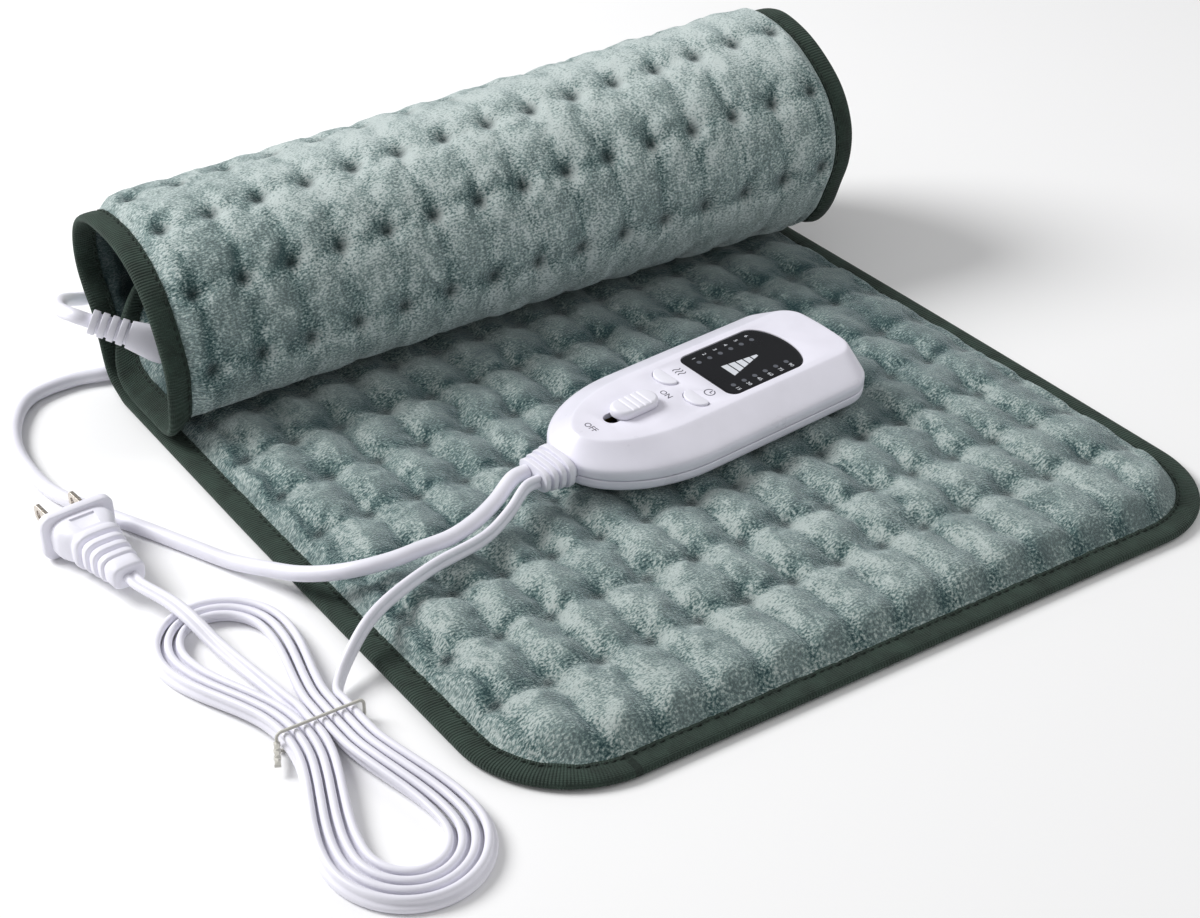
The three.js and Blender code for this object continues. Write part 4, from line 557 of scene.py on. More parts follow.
def fullness(s):
    """The share of its height that the cloth keeps along the pad."""
    turn = FLAT - DEPTH_L / 2
    stops = [turn - 2 * HALF_ROW, turn, FLAT + HALF_ROW, FLAT + 3 * HALF_ROW,
             PAD_L - 9 * HALF_ROW, PAD_L - 7 * HALF_ROW]
    return np.interp(s, stops, [1, UNDER, UNDER, WALL, WALL, FLAP])


# The quilt's relief on the face (1) and the back (-1): how deep the creases between columns and rows go,
# the pit of each tuft with the dimple round it, and the small folds that run out of it.
COL_CREASE, ROW_CREASE, PIT_RADIUS = {1: 0.76, -1: 0.24}, {1: 0.54, -1: 0.24}, {1: 2.7, -1: 2.9}
HOLD_RADIUS, DIMPLE, DIMPLE_RADIUS = 6.0, 0.16, 7.0
FOLDS, FOLD_HEIGHT, FOLD_AT, FOLD_WIDE = 5, 0.07, 6.5, 4.0
EDGE_SLOPE, EDGE_BLEND, PIT_CLOTH = 0.85, 0.35, 0.2
# Painted highlight on crests and painted shade inside the roll: their amounts in the painted shading.
PAINTED_CREST_TONE, PAINTED_ROLL_INSIDE_SHADE = 0.16, 0.85
# Painted light and shade by slope: its gain and the weights of slopes along x and along the cloth.
SLOPE_LIGHT_GAIN, SLOPE_LIGHT_X, SLOPE_LIGHT_S = 1.8, 1.15, 0.85


def quilt_height(x, s, side):
    """How far the cloth stands from the middle surface, and its painted shading: painted shade in pits,
    creases and inside the roll, painted highlight on crests.
    """
    own = 0 if side > 0 else 10
    wander_x = 2.0 * waves(x, s, 11 + own, 60) + 0.8 * waves(x, s, 12, 17)
    wander_s = 2.0 * waves(x, s, 13 + own, 70) + 0.8 * waves(x, s, 14, 19)
    u, v = (x - MARGIN_X) / COL_PITCH, (s - MARGIN_S) / ROW_PITCH
    near_u, near_v = np.round(np.clip(u, 0, COLS - 1)), np.round(np.clip(v, 0, ROWS - 1))
    du, dv = (u - near_u) * COL_PITCH, (v - near_v) * ROW_PITCH
    d = np.hypot(du, dv)
    hold = 1 - np.exp(-((d / HOLD_RADIUS) ** 2))
    a = np.abs(np.sin(np.pi * (u + wander_x / COL_PITCH * hold)))
    b = np.abs(np.sin(np.pi * (v + wander_s / ROW_PITCH * hold)))
    past = np.maximum(-v, v - (ROWS - 1))
    crease_col = (1 - a**0.9) * ((u > -0.3) & (u < COLS - 0.7))
    crease_row = (1 - b**0.62) * unit((0.35 - past) * 4)
    col_share = COL_CREASE[side] * (1 - 0.25 * unit(past / 1.1)) * (0.85 + 0.3 * waves(x, s, 31, 45))
    row_share = ROW_CREASE[side] * (0.92 + 0.2 * waves(x, s, 32, 50))
    pit = np.exp(-((d / PIT_RADIUS[side]) ** 2))
    full = 1 - col_share * crease_col - row_share * crease_row - DIMPLE * np.exp(-((d / DIMPLE_RADIUS) ** 2))
    full = full - 0.04 + 0.09 * waves(x, s, 33, 34)
    rays = np.sin(FOLDS * np.arctan2(dv, du) + 1.3 * near_u + 2.1 * near_v)
    full = full + FOLD_HEIGHT * np.exp(-(((d - FOLD_AT) / FOLD_WIDE) ** 2)) * rays
    crown = unit(full + 0.045 * waves(x, s, 34, 12, 2))
    inner, crest = (INNER_FACE, FACE_CREST) if side > 0 else (INNER_BACK, BACK_CREST)
    low = inner + PIT_CLOTH
    height = low + (crest - low) * fullness(s) * crown * (1 - pit)
    e = edge_distance(x, s)
    flap = np.where(s > PAD_L - 2 * MARGIN_S, FLAP_EASE, 0) * unit((e - BAND) / 10)
    rise = EDGE_CLOTH + np.maximum(e - BAND, 0) * EDGE_SLOPE - flap
    height = -EDGE_BLEND * np.log(np.exp(-height / EDGE_BLEND) + np.exp(-rise / EDGE_BLEND))
    # Painted shade on the face cover inside the roll.
    inside = unit((s - FLAT + 10) / 40) * unit((PAD_L - 50 - s) / 30) if side > 0 else 0.0
    # Painted shade in the tuft pits and along the creases.
    painted_shading = unit(0.95 * pit**1.4 + 0.14 * crease_row**3 + 0.12 * crease_col**3)
    # Crests get a painted highlight, less inside the roll, where painted shade is added.
    return height, painted_shading - PAINTED_CREST_TONE * unit((crown - 0.5) / 0.5) * (1 - inside) + PAINTED_ROLL_INSIDE_SHADE * inside


def quilt_grid(step, offset):
    """Even grid of places inside the rounded outline, narrowed by the corners at both ends."""
    rows = int((PAD_L - 2 * offset) / step)
    cols = int((PAD_W - 2 * offset) / step)
    s = np.linspace(offset, PAD_L - offset, rows)
    t = np.linspace(0, 1, cols)
    reach = CORNER - offset
    from_end = np.minimum(s, PAD_L - s)
    corner = CORNER - np.sqrt(np.maximum(reach**2 - (CORNER - from_end) ** 2, 0))
    low = np.where(from_end < CORNER, corner, offset)
    x = low[:, None] + t[None, :] * (PAD_W - 2 * low[:, None])
    return x, np.repeat(s[:, None], cols, axis=1)


def grid_faces(rows, cols):
    """Faces of a grid of points, and the points round its edge."""
    idx = np.arange(rows * cols).reshape(rows, cols)
    quads = np.stack([idx[:-1, :-1], idx[:-1, 1:], idx[1:, 1:], idx[1:, :-1]], axis=-1).reshape(-1, 4)
    return quads, np.concatenate([idx[0, :], idx[1:, -1], idx[-1, -2::-1], idx[-2:0:-1, 0]])


def add_point_data(ob, name, kind, values):
    data = ob.data.attributes.new(name, kind, "POINT")
    key = "vector" if kind == "FLOAT_VECTOR" else "value"
    data.data.foreach_set(key, np.asarray(values, np.float32).ravel())


def lean_of_pile(x, s, height, side):
    """Painted light and shade on the pile: lighter on slopes to the left and back, towards the key lamp,
    darker on the others.
    """
    slope_x = np.gradient(height, axis=1) / np.gradient(x, axis=1)
    slope_s = np.gradient(height, axis=0) / np.gradient(s, axis=0)
    painted_slope_light = np.tanh(SLOPE_LIGHT_GAIN * (SLOPE_LIGHT_X * slope_x - side * SLOPE_LIGHT_S * slope_s))
    painted_slope_light *= 0.35 + 0.65 * unit((edge_distance(x, s) - BAND - 1) / 12)
    if side > 0:
        # On the face: painted shade that deepens towards the roll and more so to the right, and darker
        # towards the right.
        return painted_slope_light - (0.35 + 0.65 * x / PAD_W) * smooth(unit((s - 45) / 140)) - 0.24 * unit((x - 160) / 90)
    run_on = mid_point(x, np.minimum(s + 1, PAD_L)) - mid_point(x, np.maximum(s - 1, 0))
    upward = -run_on[..., 1] / np.linalg.norm(run_on, axis=-1)
    # On the back: a painted highlight on the roll's top and painted shade towards its left end.
    return painted_slope_light + 0.8 * unit(upward) ** 4 - 0.9 * unit(1 - x / 75)


def make_cover(name, side, step):
    """One cover of the quilt with its hidden lip under the tape, and the data that its cloth reads."""
    x, s = quilt_grid(step, 3.0)
    height, painted_shading = quilt_height(x, s, side)
    p = pad_point(x, s, side * height)
    if side < 0:
        p[..., 2] = np.maximum(p[..., 2], 0.02)
    quads, ring = grid_faces(*x.shape)
    rx, rs = x.reshape(-1)[ring], s.reshape(-1)[ring]
    lip = pad_point(rx, rs, np.full_like(rx, side * 0.3))
    outer = x.size + np.arange(len(ring))
    skirt = np.stack([outer, np.roll(outer, -1), np.roll(ring, -1), ring], axis=-1)
    faces = np.vstack([quads, skirt])[:, ::side].tolist()
    ob = make_mesh(name, to_root(np.vstack([p.reshape(-1, 3), lip])), faces)
    px, ps = np.append(x, rx), np.append(s, rs)
    add_point_data(ob, "pile", "FLOAT_VECTOR", np.stack([px, ps, np.full_like(px, side * 50.0)], axis=-1))
    # Painted shading per point, with painted shade on the hidden lip under the tape.
    add_point_data(ob, "painted_shading", "FLOAT", np.append(painted_shading, np.full(len(ring), 0.6)))
    # Painted light and shade by slope; none on the hidden lip.
    add_point_data(ob, "painted_slope_light", "FLOAT", np.append(lean_of_pile(x, s, height, side), np.zeros(len(ring))))
    return ob


face = finish_piece(make_cover("quilt_face", 1, 1.6), "velvet", replaced=["face_cover"])
back = finish_piece(make_cover("quilt_back", -1, 1.8), "velvet_back", replaced=["back_cover"])


def make_sheet(side, end, low, high):
    """The thin felt sheet between the covers, which follows the same bends."""
    x, s = np.meshgrid(np.linspace(side, PAD_W - side, 60), np.linspace(end, PAD_L - end, 130))
    quads, ring = grid_faces(*x.shape)
    after = np.roll(ring, -1)
    rim = np.stack([ring + x.size, after + x.size, after, ring], axis=-1)
    layers = [pad_point(x, s, np.full_like(x, h)).reshape(-1, 3) for h in (high, low)]
    faces = np.vstack([quads, quads[:, ::-1] + x.size, rim]).tolist()
    ob = make_mesh("felt_sheet", to_root(np.vstack(layers)), faces)
    face_outward(ob)
    return ob


finish_piece(make_sheet(17.0, 33.0, 0.45, 1.1), "felt", replaced=["element_sheet"])


# Binding tape, folded round the edge
def outline_places(step, arc_steps):
    """Outline points (x, s), inward normals and run length, anticlockwise from the front left."""
    place, inward, previous = [], [], np.array([CORNER, 0.0])
    far_x, far_s = PAD_W - CORNER, PAD_L - CORNER
    for x, s, start in ((far_x, CORNER, -90), (far_x, far_s, 0), (CORNER, far_s, 90), (CORNER, CORNER, 180)):
        outward = arc(0, 0, 1, 1, start, start + 90, arc_steps + 1)
        bend = outward * CORNER + [x, s]
        count = max(1, int(np.linalg.norm(bend[0] - previous) / step))
        share = np.arange(count)[:, None] / count
        place += [previous + (bend[0] - previous) * share, bend[:-1]]
        inward += [np.repeat(-outward[:1], count, axis=0), -outward[:-1]]
        previous = bend[-1]
    place = np.vstack(place)
    return place, np.vstack(inward), run_length(place)


place, inward, run = outline_places(2.0, 22)
STITCH_PITCH, STITCH_LENGTH, STITCH_AT, STITCH_HEIGHT = 3.4, 2.5, 7.5, 1.42
THREAD_WIDE, THREAD_HIGH, TAPE_PULL = 0.42, 0.34, 0.14


def band_section():
    """Offsets inward and heights round the folded tape, from its lower inner lip to the upper one."""
    top = [(8.6, 1.05), (8.5, 1.5), (8.0, 1.56), (7.4, 1.28), (6.3, 1.58), (4.8, 1.75), (3.0, 1.78),
           (1.6, 1.65), (0.7, 1.3), (0.2, 0.8), (0.03, 0.35)]
    inner = [(8.6, 0.95), (2.2, 0.95), (1.6, 0.5)]
    outer = top + [(0.0, 0.0)] + [(d, -h) for d, h in top[::-1]]
    return np.array(outer + [(d, -h) for d, h in inner] + [(d, h) for d, h in inner[::-1]])


section = band_section()
pucker = 0.16 * waves(run, run * 0, 41, 14) + 0.1 * waves(run, run * 0, 42, 6)
rings = []
for d, h in section:
    pulled = TAPE_PULL * np.cos(run * math.tau / STITCH_PITCH) if d > 6 else 0.0
    puckered = pucker * min(1.0, d / 4) * (1.0 if d > 3 else 0.4)
    rings.append(pad_point(*(place + inward * d).T, h + np.sign(h) * (puckered + pulled)))
rings = np.stack(rings, axis=1)
rings[..., 2] = np.maximum(rings[..., 2], 0.05)
count, width = rings.shape[:2]
band_faces = [f[::-1] for f in loft_faces(count, width, closed=True)]
band = make_mesh("edge_tape", to_root(rings.reshape(-1, 3)), band_faces)
band_pile = [np.repeat(run, width), np.tile(run_length(section), count), np.zeros(count * width)]
add_point_data(band, "pile", "FLOAT_VECTOR", np.stack(band_pile, axis=-1))
finish_piece(band, "binding", replaced=["edge_binding"])


def stitch_row(name, side):
    """Short thread stitches along the tape, each a small rounded bar that dips at its ends."""
    total = run[-1] + np.linalg.norm(place[0] - place[-1])
    closed_run = np.append(run, total)
    closed = np.hstack([np.vstack([place, place[:1]]), np.vstack([inward, inward[:1]])])
    dip, slant = np.array([-0.45, 0.0, 0.0, -0.45]) * side, np.array([-0.25, -0.1, 0.1, 0.25])
    verts, faces = [], []
    for k in range(int(total / STITCH_PITCH)):
        at = np.clip(np.linspace(-0.5, 0.5, 4) * STITCH_LENGTH + (k + 0.5) * STITCH_PITCH, 0, total)
        px, ps, nx, ns = [np.interp(at, closed_run, column) for column in closed.T]
        for w, t in ((THREAD_WIDE, 0), (0, THREAD_HIGH), (-THREAD_WIDE, 0), (0, -THREAD_HIGH)):
            d = STITCH_AT + slant + w
            verts.append(pad_point(px + nx * d, ps + ns * d, STITCH_HEIGHT * side + dip + t))
        base = k * 16
        for r in range(3):
            for q in range(4):
                a, b = base + q * 4 + r, base + (q + 1) % 4 * 4 + r
                faces.append((a, b, b + 1, a + 1))
        faces += [(base, base + 12, base + 8, base + 4), (base + 3, base + 7, base + 11, base + 15)]
    ob = make_mesh(name, to_root(np.concatenate(verts)), faces)
    finish_piece(ob, "binding", material="thread")


stitch_row("tape_stitches_face", 1)
stitch_row("tape_stitches_back", -1)


# ---- controller
def at_pad(x, y, z):
    """A move to a place given in pad millimetres."""
    return Matrix.Translation(Vector(((x - ORIGIN_X) * MM, (y - ORIGIN_Y) * MM, z * MM)))


def turned(degrees, axis):
    return Matrix.Rotation(math.radians(degrees), 4, axis)


def placed(matrix, points):
    """A piece's own millimetres to metres in the shared frame."""
    m = np.array(matrix)
    return np.asarray(points, float) * MM @ m[:3, :3].T + m[:3, 3]


HAND = at_pad(160, 137, 15.1439) @ turned(6, "Z") @ turned(4, "X")


def hand(points):
    return placed(HAND, points)


# In the controller's own axes: u along it, v across, and heights over its flat underside.
CASE = dict(nose=-65.0, length=45.0, half=29.5, end=61.0, corner=13.0)
PLATEAU = dict(nose=-58.5, length=38.0, half=18.5, end=59.5, corner=8.0)
END_BOW, TOP, RISE, CEILING, SEAM, RELIEF_Z = 1.5, 17.6, 17.2, 15.4, 6.8, 7.8
THROUGH = (14, 19)
WINDOW_NEAR, WINDOW_LENGTH, WINDOW_HALF, WINDOW_CORNER, WINDOW_BOW = 0.4, 41.6, 15, 4, 0.22
BUTTON_U, BUTTON_V, BUTTON_HALF, BUTTON_CORNER, BUTTON_FAR, BUTTON_BOW = -11.6, 8.2, 5.5, 1.4, -8.9, 4.0
SLOT_LENGTH, SLOT_WIDTH, SLOT_U = 18.4, 6.0, -36.4
KNOB_LENGTH, KNOB_WIDTH, KNOB_U, GROOVES, GROOVE_PITCH = 19.2, 9.4, -32.4, 4, 2.7
SCREWS = ((-50, 9.5), (-50, -9.5), (52, 17.5), (52, -17.5))


def outline(o, inset, height, nose_steps=72):
    """The case's outline at one height: a straight end with round corners, and an oval nose."""
    half, radius = o["half"] - inset, max(o["corner"] - inset, o["corner"] / 4)
    centre, end, side = o["nose"] + o["length"], o["end"] - inset, half - radius
    p = np.vstack([arc(end - radius, -side, radius, radius, -90, 0, 13),
                   [(end, side * k / 6) for k in range(-5, 6)],
                   arc(end - radius, side, radius, radius, 0, 90, 13),
                   arc(centre, 0, o["length"] - inset, half, 90, 270, nose_steps + 1)])
    p[:, 0] += np.where(p[:, 0] > centre, END_BOW * (1 - (p[:, 1] / half) ** 2), 0)
    return level(p, height)


def level(shape, z):
    """A flat outline as a ring at one height."""
    return np.column_stack([shape, np.full(len(shape), float(z))])


def prism(shape, low, high, matrix=HAND):
    return loft("cutter", placed(matrix, [level(shape, low), level(shape, high)]))


def capsule(length, width, x, y=0.0, steps=20):
    r, half = width / 2, length / 2 - width / 2
    return np.vstack([arc(x + half, y, r, r, -90, 90, steps), arc(x - half, y, r, r, 90, 270, steps)])


def window_shape(margin):
    near, side, corner = WINDOW_NEAR - margin, WINDOW_HALF + margin, WINDOW_CORNER + margin
    shoulder, bow = WINDOW_NEAR + WINDOW_LENGTH * (1 - WINDOW_BOW), WINDOW_LENGTH * WINDOW_BOW + margin
    return np.vstack([arc(shoulder, 0, bow, side, -90, 90, 48),
                      arc(near + corner, side - corner, corner, corner, 90, 180, 10),
                      arc(near + corner, corner - side, corner, corner, 180, 270, 10)])


def button_shape(v, margin):
    half, corner, far, bow = (n + margin for n in (BUTTON_HALF, BUTTON_CORNER, BUTTON_FAR, BUTTON_BOW))
    return np.vstack([arc(far - corner, v + corner - half, corner, corner, -90, 0, 8),
                      arc(far - corner, v + half - corner, corner, corner, 0, 90, 8),
                      arc(far - corner, v, bow, half, 90, 270, 36)[1:-1]])


def oval_rings(stations, sides=48, power=0.7):
    """Soft oval rings across the x axis, one for each station of place, half width and half height."""
    a = (np.arange(sides) + 0.5) * math.tau / sides
    wide, high = [np.sign(c) * np.abs(c) ** power for c in (np.cos(a), np.sin(a))]
    return [np.column_stack([np.full(sides, x), w * wide, h * high]) for x, w, h in stations]


def rib_stations(start, count, pitch, depth, wide, high, taper, groove=0.36):
    out = []
    for k in range(count):
        near, w, h = start + k * pitch, wide - taper * k, high - taper * k
        edge = near + pitch * groove
        out += [(x, w - depth, h - depth) for x in (near, edge)]
        out += [(x, w, h) for x in (edge + 0.01, near + pitch)]
    return out


def relief_rings(stations, *shape):
    """Rings round the cords' way out at the nose, which points along -u."""
    return hand([ring * [-1, -1, 1] + [0, 0, RELIEF_Z] for ring in oval_rings(stations, *shape)])


def relief_notch():
    return loft("cutter", relief_rings([(60.2, 7.7, 3.7), (67.8, 7.7, 3.7)]))


def case_half(name, levels, fillets):
    return loft(name, hand(rounded_levels([outline(*row) for row in levels], fillets, 5)))


def hollow(*levels):
    return loft("cutter", hand([outline(*row, 24) for row in levels]))


shell = case_half("shell_top", [
    (CASE, 0.3, SEAM), (CASE, 0, SEAM + 0.35), (CASE, 0, 10.1), (CASE, 0.9, 11.45),
    (PLATEAU, 0, RISE), (PLATEAU, 0.9, TOP), (PLATEAU, 3.2, TOP)], [0, 0.2, 1.2, 2.4, 1.6, 0.9, 0])
cut(shell, hollow((CASE, 2, 5.8), (CASE, 2, 9.7), (PLATEAU, 0.9, CEILING)))
cut(shell, prism(capsule(SLOT_LENGTH, SLOT_WIDTH, SLOT_U), *THROUGH))
for v in (BUTTON_V, -BUTTON_V):
    cut(shell, prism(button_shape(v, 0.35), *THROUGH))
cut(shell, prism(window_shape(0), 16.1, 19))
cut(shell, prism(window_shape(-1.6), *THROUGH))
cut(shell, relief_notch())
ease_edges(shell, 0.22, 2, 50, 40)
finish_piece(shell, "white_shell", replaced=["top_shell"])

lower = case_half("shell_bottom", [
    (CASE, 8, 0), (CASE, 4.5, 0), (CASE, 0, 3.2), (CASE, 0, 6.15), (CASE, 0.3, 6.5)], [0, 1.4, 1.6, 0.2, 0])
cut(lower, hollow((CASE, 6.5, 2), (CASE, 2, 5.2), (CASE, 2, 7.8)))
for u, v in SCREWS:
    cut(lower, prism(capsule(7.21, 7.2, u, v), 1, 8.1), "UNION")
    cut(lower, prism(capsule(5.51, 5.5, u, v), -1, 3))
    cut(lower, prism(capsule(2.91, 2.9, u, v), -1, 9))
cut(lower, relief_notch())
ease_edges(lower, 0.2, 2, 50, 40)
finish_piece(lower, "white_shell", replaced=["bottom_shell"])

# Window: a smoked lens with printed marks
lens_levels = ((0, 16.4), (0, 17.3), (0.08, 17.4), (0.22, 17.45), (1.6, 17.45))
lens = loft("window_lens", hand([level(window_shape(-0.3 - inset), z) for inset, z in lens_levels]))
sharp_by_angle(lens, 40)
finish_piece(lens, "dark_lens", replaced=["display_lens"])


def flat_mark(name, shapes, top, slot, material):
    """Printed marks: thin raised outlines on a flat face."""
    verts, faces = [], []
    for shape in shapes:
        n, base = len(shape), sum(len(v) for v in verts)
        verts += [level(shape, top - 0.03), level(shape, top + 0.05)]
        faces += [tuple(base + n + i for i in range(n)), tuple(base + n - 1 - i for i in range(n))]
        faces += [(base + i, base + (i + 1) % n, base + n + (i + 1) % n, base + n + i) for i in range(n)]
    finish_piece(make_mesh(name, hand(np.vstack(verts)), faces, smooth=False), slot, material=material)


def words(name, text, u, v, size, top, slot, material):
    """A number or ON and OFF, set flat on a face, with its top towards the window."""
    curve = bpy.data.curves.new(name, "FONT")
    curve.body = text
    curve.size = size * MM
    curve.extrude = 0.03 * MM
    curve.align_x = curve.align_y = "CENTER"
    curve.resolution_u = 3
    ob = add_object(name + "_curve", curve)
    mesh = evaluated_mesh(ob)
    mesh.transform(HAND @ Matrix.Translation(Vector((u, v, top)) * MM) @ turned(-90, "Z"))
    mesh.name = name
    bpy.data.objects.remove(ob)
    finish_piece(add_object(name, mesh), slot, material=material)


FACE_Z, LENS_Z = TOP + 0.02, 17.47
WEDGE_FROM, WEDGE_TIP, WEDGE_HALF, WEDGE_UPPER = 10.6, 29.0, 5.4, 0.35
BAR_PITCH, BAR_WIDE, DOT_PITCH = 3.3, 2.7, 5.2
bars = []
for k in range(5):
    ends = [WEDGE_FROM + k * BAR_PITCH, WEDGE_FROM + k * BAR_PITCH + BAR_WIDE]
    (u0, h0), (u1, h1) = [(u, WEDGE_HALF * (WEDGE_TIP - u) / (WEDGE_TIP - WEDGE_FROM)) for u in ends]
    bars.append([(u0, -h0), (u1, -h1), (u1, h1 * WEDGE_UPPER), (u0, h0 * WEDGE_UPPER)])
flat_mark("level_wedge", bars, LENS_Z, "dark_lens", "print_white")
dots = [arc(6 + i * DOT_PITCH, v, 0.95, 0.95, 0, 345, 24) for i in range(6) for v in (8.6, -9.6)]
flat_mark("indicator_dots", dots, LENS_Z, "dark_lens", "print_dim")
for i in range(6):
    for kind, text, v, size in (("level", i + 1, 11.6, 2.3), ("minute", 15 * (i + 1), -12.2, 2.2)):
        name = f"{kind}_number_{i + 1}"
        words(name, str(text), 6 + i * DOT_PITCH, v, size, LENS_Z, "dark_lens", "print_white")
words("switch_on", "ON", -17.6, 0, 3.4, FACE_Z, "white_shell", "print_grey")
words("switch_off", "OFF", -51.9, 0, 3.4, FACE_Z, "white_shell", "print_grey")


def stroke(points, width):
    """A thin closed outline round a polyline."""
    p = np.asarray(points, float)
    t = np.gradient(p, axis=0)
    t /= np.linalg.norm(t, axis=1, keepdims=True)
    n = np.column_stack([-t[:, 1], t[:, 0]]) * width / 2
    return np.vstack([p + n, (p - n)[::-1]])


# Heat waves by one button and a clock by the other
wave = np.linspace(0, 1, 14)
clock = (-4.2, -8.2)
marks = [stroke(np.column_stack([-5.8 + 3.6 * wave, 8.2 + dv + 0.45 * np.sin(wave * math.tau)]), 0.38)
         for dv in (-1.5, 0, 1.5)]
marks += [stroke(arc(*clock, 1.9, 1.9, 8, 352, 28), 0.38), stroke([clock, (-2.9, -8.2)], 0.36),
          stroke([clock, (-4.2, -9.1)], 0.36)]
flat_mark("button_marks", marks, TOP, "white_shell", "print_grey")


def capped(shape_at, low, top, edge):
    """Rings of an upright cap whose upper edge is rounded."""
    angles = [math.radians(15 * k) for k in range(7)]
    return [level(shape_at(0), low)] + [
        level(shape_at(edge * (1 - math.cos(a))), top - edge * (1 - math.sin(a))) for a in angles]


# Slide knob with its grooves, its neck through the slot and the foot that holds it in
def knob_shape(inset):
    return capsule(KNOB_LENGTH - 2 * inset, KNOB_WIDTH - 2 * inset, KNOB_U)


knob = loft("knob_cap", hand(capped(knob_shape, 17.9, 20.9, 1.3)))
for k in range(GROOVES):
    u = KNOB_U + (k - (GROOVES - 1) / 2) * GROOVE_PITCH
    groove = arc(u, 20.98, 0.4, 0.42, 0, 345, 24)
    across = [np.insert(groove, 1, y, axis=1) for y in (5.2, -5.2)]
    cut(knob, loft("cutter", hand(across)))
cut(knob, prism(capsule(9.6, 5.2, KNOB_U), 14.1, 18.4), "UNION")
cut(knob, prism(capsule(13, 8, KNOB_U), 14.1, 15.1), "UNION")
lever_hole = [(KNOB_U + u, v) for u, v in ((-1.8, -1.8), (1.8, -1.8), (1.8, 1.8), (-1.8, 1.8))]
cut(knob, prism(lever_hole, 13, 16.4))
ease_edges(knob, 0.18, 2, 30, 38)
finish_piece(knob, "white_soft", "slide_knob", ["slide_knob"])

CAP_DOME = 0.18
for side, v in (("heat", BUTTON_V), ("timer", -BUTTON_V)):
    cap_rings = capped(lambda inset: button_shape(v, -inset), 14.1, 18.35, 0.5)
    rim = cap_rings[-1]
    centre = np.array([-12.0, v, rim[:, 2].max()])
    cap_rings += [centre + (rim - centre) * [k, k, 1] + [0, 0, CAP_DOME * (1 - k * k)]
                  for k in (0.8, 0.55, 0.3, 0.1)]
    cap = loft(side + "_cap", hand(cap_rings))
    cut(cap, prism(button_shape(v, 1.1), 14.1, 15.1), "UNION")
    cut(cap, prism(capsule(3.61, 3.6, BUTTON_U, v), 12.3, 15.05), "UNION")
    sharp_by_angle(cap, 38)
    finish_piece(cap, "white_soft", side + "_button", [side + "_button"])

# Strain relief
stations = [(58, 8.5, 3.9), (60.2, 8.5, 3.9), (60.21, 7.4, 3.4), (65.3, 7.4, 3.4)]
stations += [(65.31, 9, 5.7), (67.8, 9, 5.7)]
stations += rib_stations(67.81, 3, 3.0, 1.1, 8.55, 5.25, 0.45)
relief = loft("cord_relief", relief_rings(stations, 48, 0.62))
ease_edges(relief, 0.42, 3, 40, 45)
finish_piece(relief, "white_soft", replaced=["strain_relief"])


# ---- plug and boot

PLUG = at_pad(-49.6, 208.5, 8.8) @ turned(275, "Z")
BLADE_Y = 6.35


def flange_ring(x, inset):
    w, h, r = 13.4 - inset, 8.5 - inset, 4.0 - inset
    corners = ((w - r, h - r, 0), (r - w, h - r, 90), (r - w, r - h, 180), (w - r, r - h, 270))
    pts = np.vstack([arc(cx, cy, r, r, start, start + 90, 10) for cx, cy, start in corners])
    return np.column_stack([np.full(len(pts), x), pts])


flange = ((0, 1.2), (0, 0.7), (0.25, 0.2), (0.8, 0), (2.9, 0), (3.4, 0.25), (3.6, 0.8), (3.6, 1.4))
plug = loft("plug_moulding", placed(PLUG, [flange_ring(*row) for row in flange]))
body = oval_rings([(3.0, 10.6, 6.4), (5.2, 11.1, 6.9), (9, 10.9, 7.0), (12.6, 9.4, 6.6), (14, 8.5, 6.3),
                   (15.4, 8.0, 6.1)], 56, 0.55)
cut(plug, loft("cutter", placed(PLUG, rounded_levels(body, [0, 1, 1, 1, 1, 0], 2))), "UNION")
tail = [(14.8, 8.4, 6.6), (15.3, 8.8, 6.95), (16.2, 9.0, 7.1), (18.2, 8.7, 6.9), (18.6, 8.3, 6.6)]
tail += rib_stations(18.61, 3, 4.4, 1.2, 7.8, 6.2, 0.55)
tail += [(31.9, 5.4, 4.0), (32.8, 6.1, 4.6), (38, 5.9, 4.4), (38.8, 5.3, 3.9)]
grip = loft("cutter", placed(PLUG, oval_rings(tail, 56, 0.6)))
set_bevel(grip, 0.5, 3, 40)
apply_modifiers(grip)
cut(plug, grip, "UNION")
cut(plug, prism([(6.2, -4.6), (13.2, -3.4), (13.2, 3.4), (6.2, 4.6)], 6.2, 9, PLUG))
for y in (BLADE_Y, -BLADE_Y):
    blade_slot = [(-1, y - 1.05), (6.3, y - 1.05), (6.3, y + 1.05), (-1, y + 1.05)]
    cut(plug, prism(blade_slot, -3.45, 3.45, PLUG))
ease_edges(plug, 0.25, 2, 45, 42)
finish_piece(plug, "white_soft", replaced=["plug_body"])

BOOT_ROOT, BOOT_TIP = (14, 268.5, 29.2), (-12, 286, 42)
boot_line = (Vector(BOOT_TIP) - Vector(BOOT_ROOT)).normalized()
BOOT = at_pad(*BOOT_ROOT) @ Vector((1, 0, 0)).rotation_difference(boot_line).to_matrix().to_4x4()
stations = [(0, 6, 3), (1, 6.6, 3.6), (4, 6.8, 4.2), (9, 6.1, 4.5), (15, 5.2, 4.7)]
stations += rib_stations(15.01, 4, 3.6, 0.8, 5, 5, 0.12, 0.3)
boot = loft("cord_boot", placed(BOOT, oval_rings(stations, 40, 0.85)))
ease_edges(boot, 0.52, 4, 40, 45)
finish_piece(boot, "white_soft", replaced=["pad_boot"])


# ---- cords
def pad_place(matrix, x, y=0.0, z=0.0):
    """A place in a piece's own axes, in pad millimetres."""
    p = placed(matrix, [x, y, z]) / MM
    return [p[0] + ORIGIN_X, p[1] + ORIGIN_Y, p[2]]


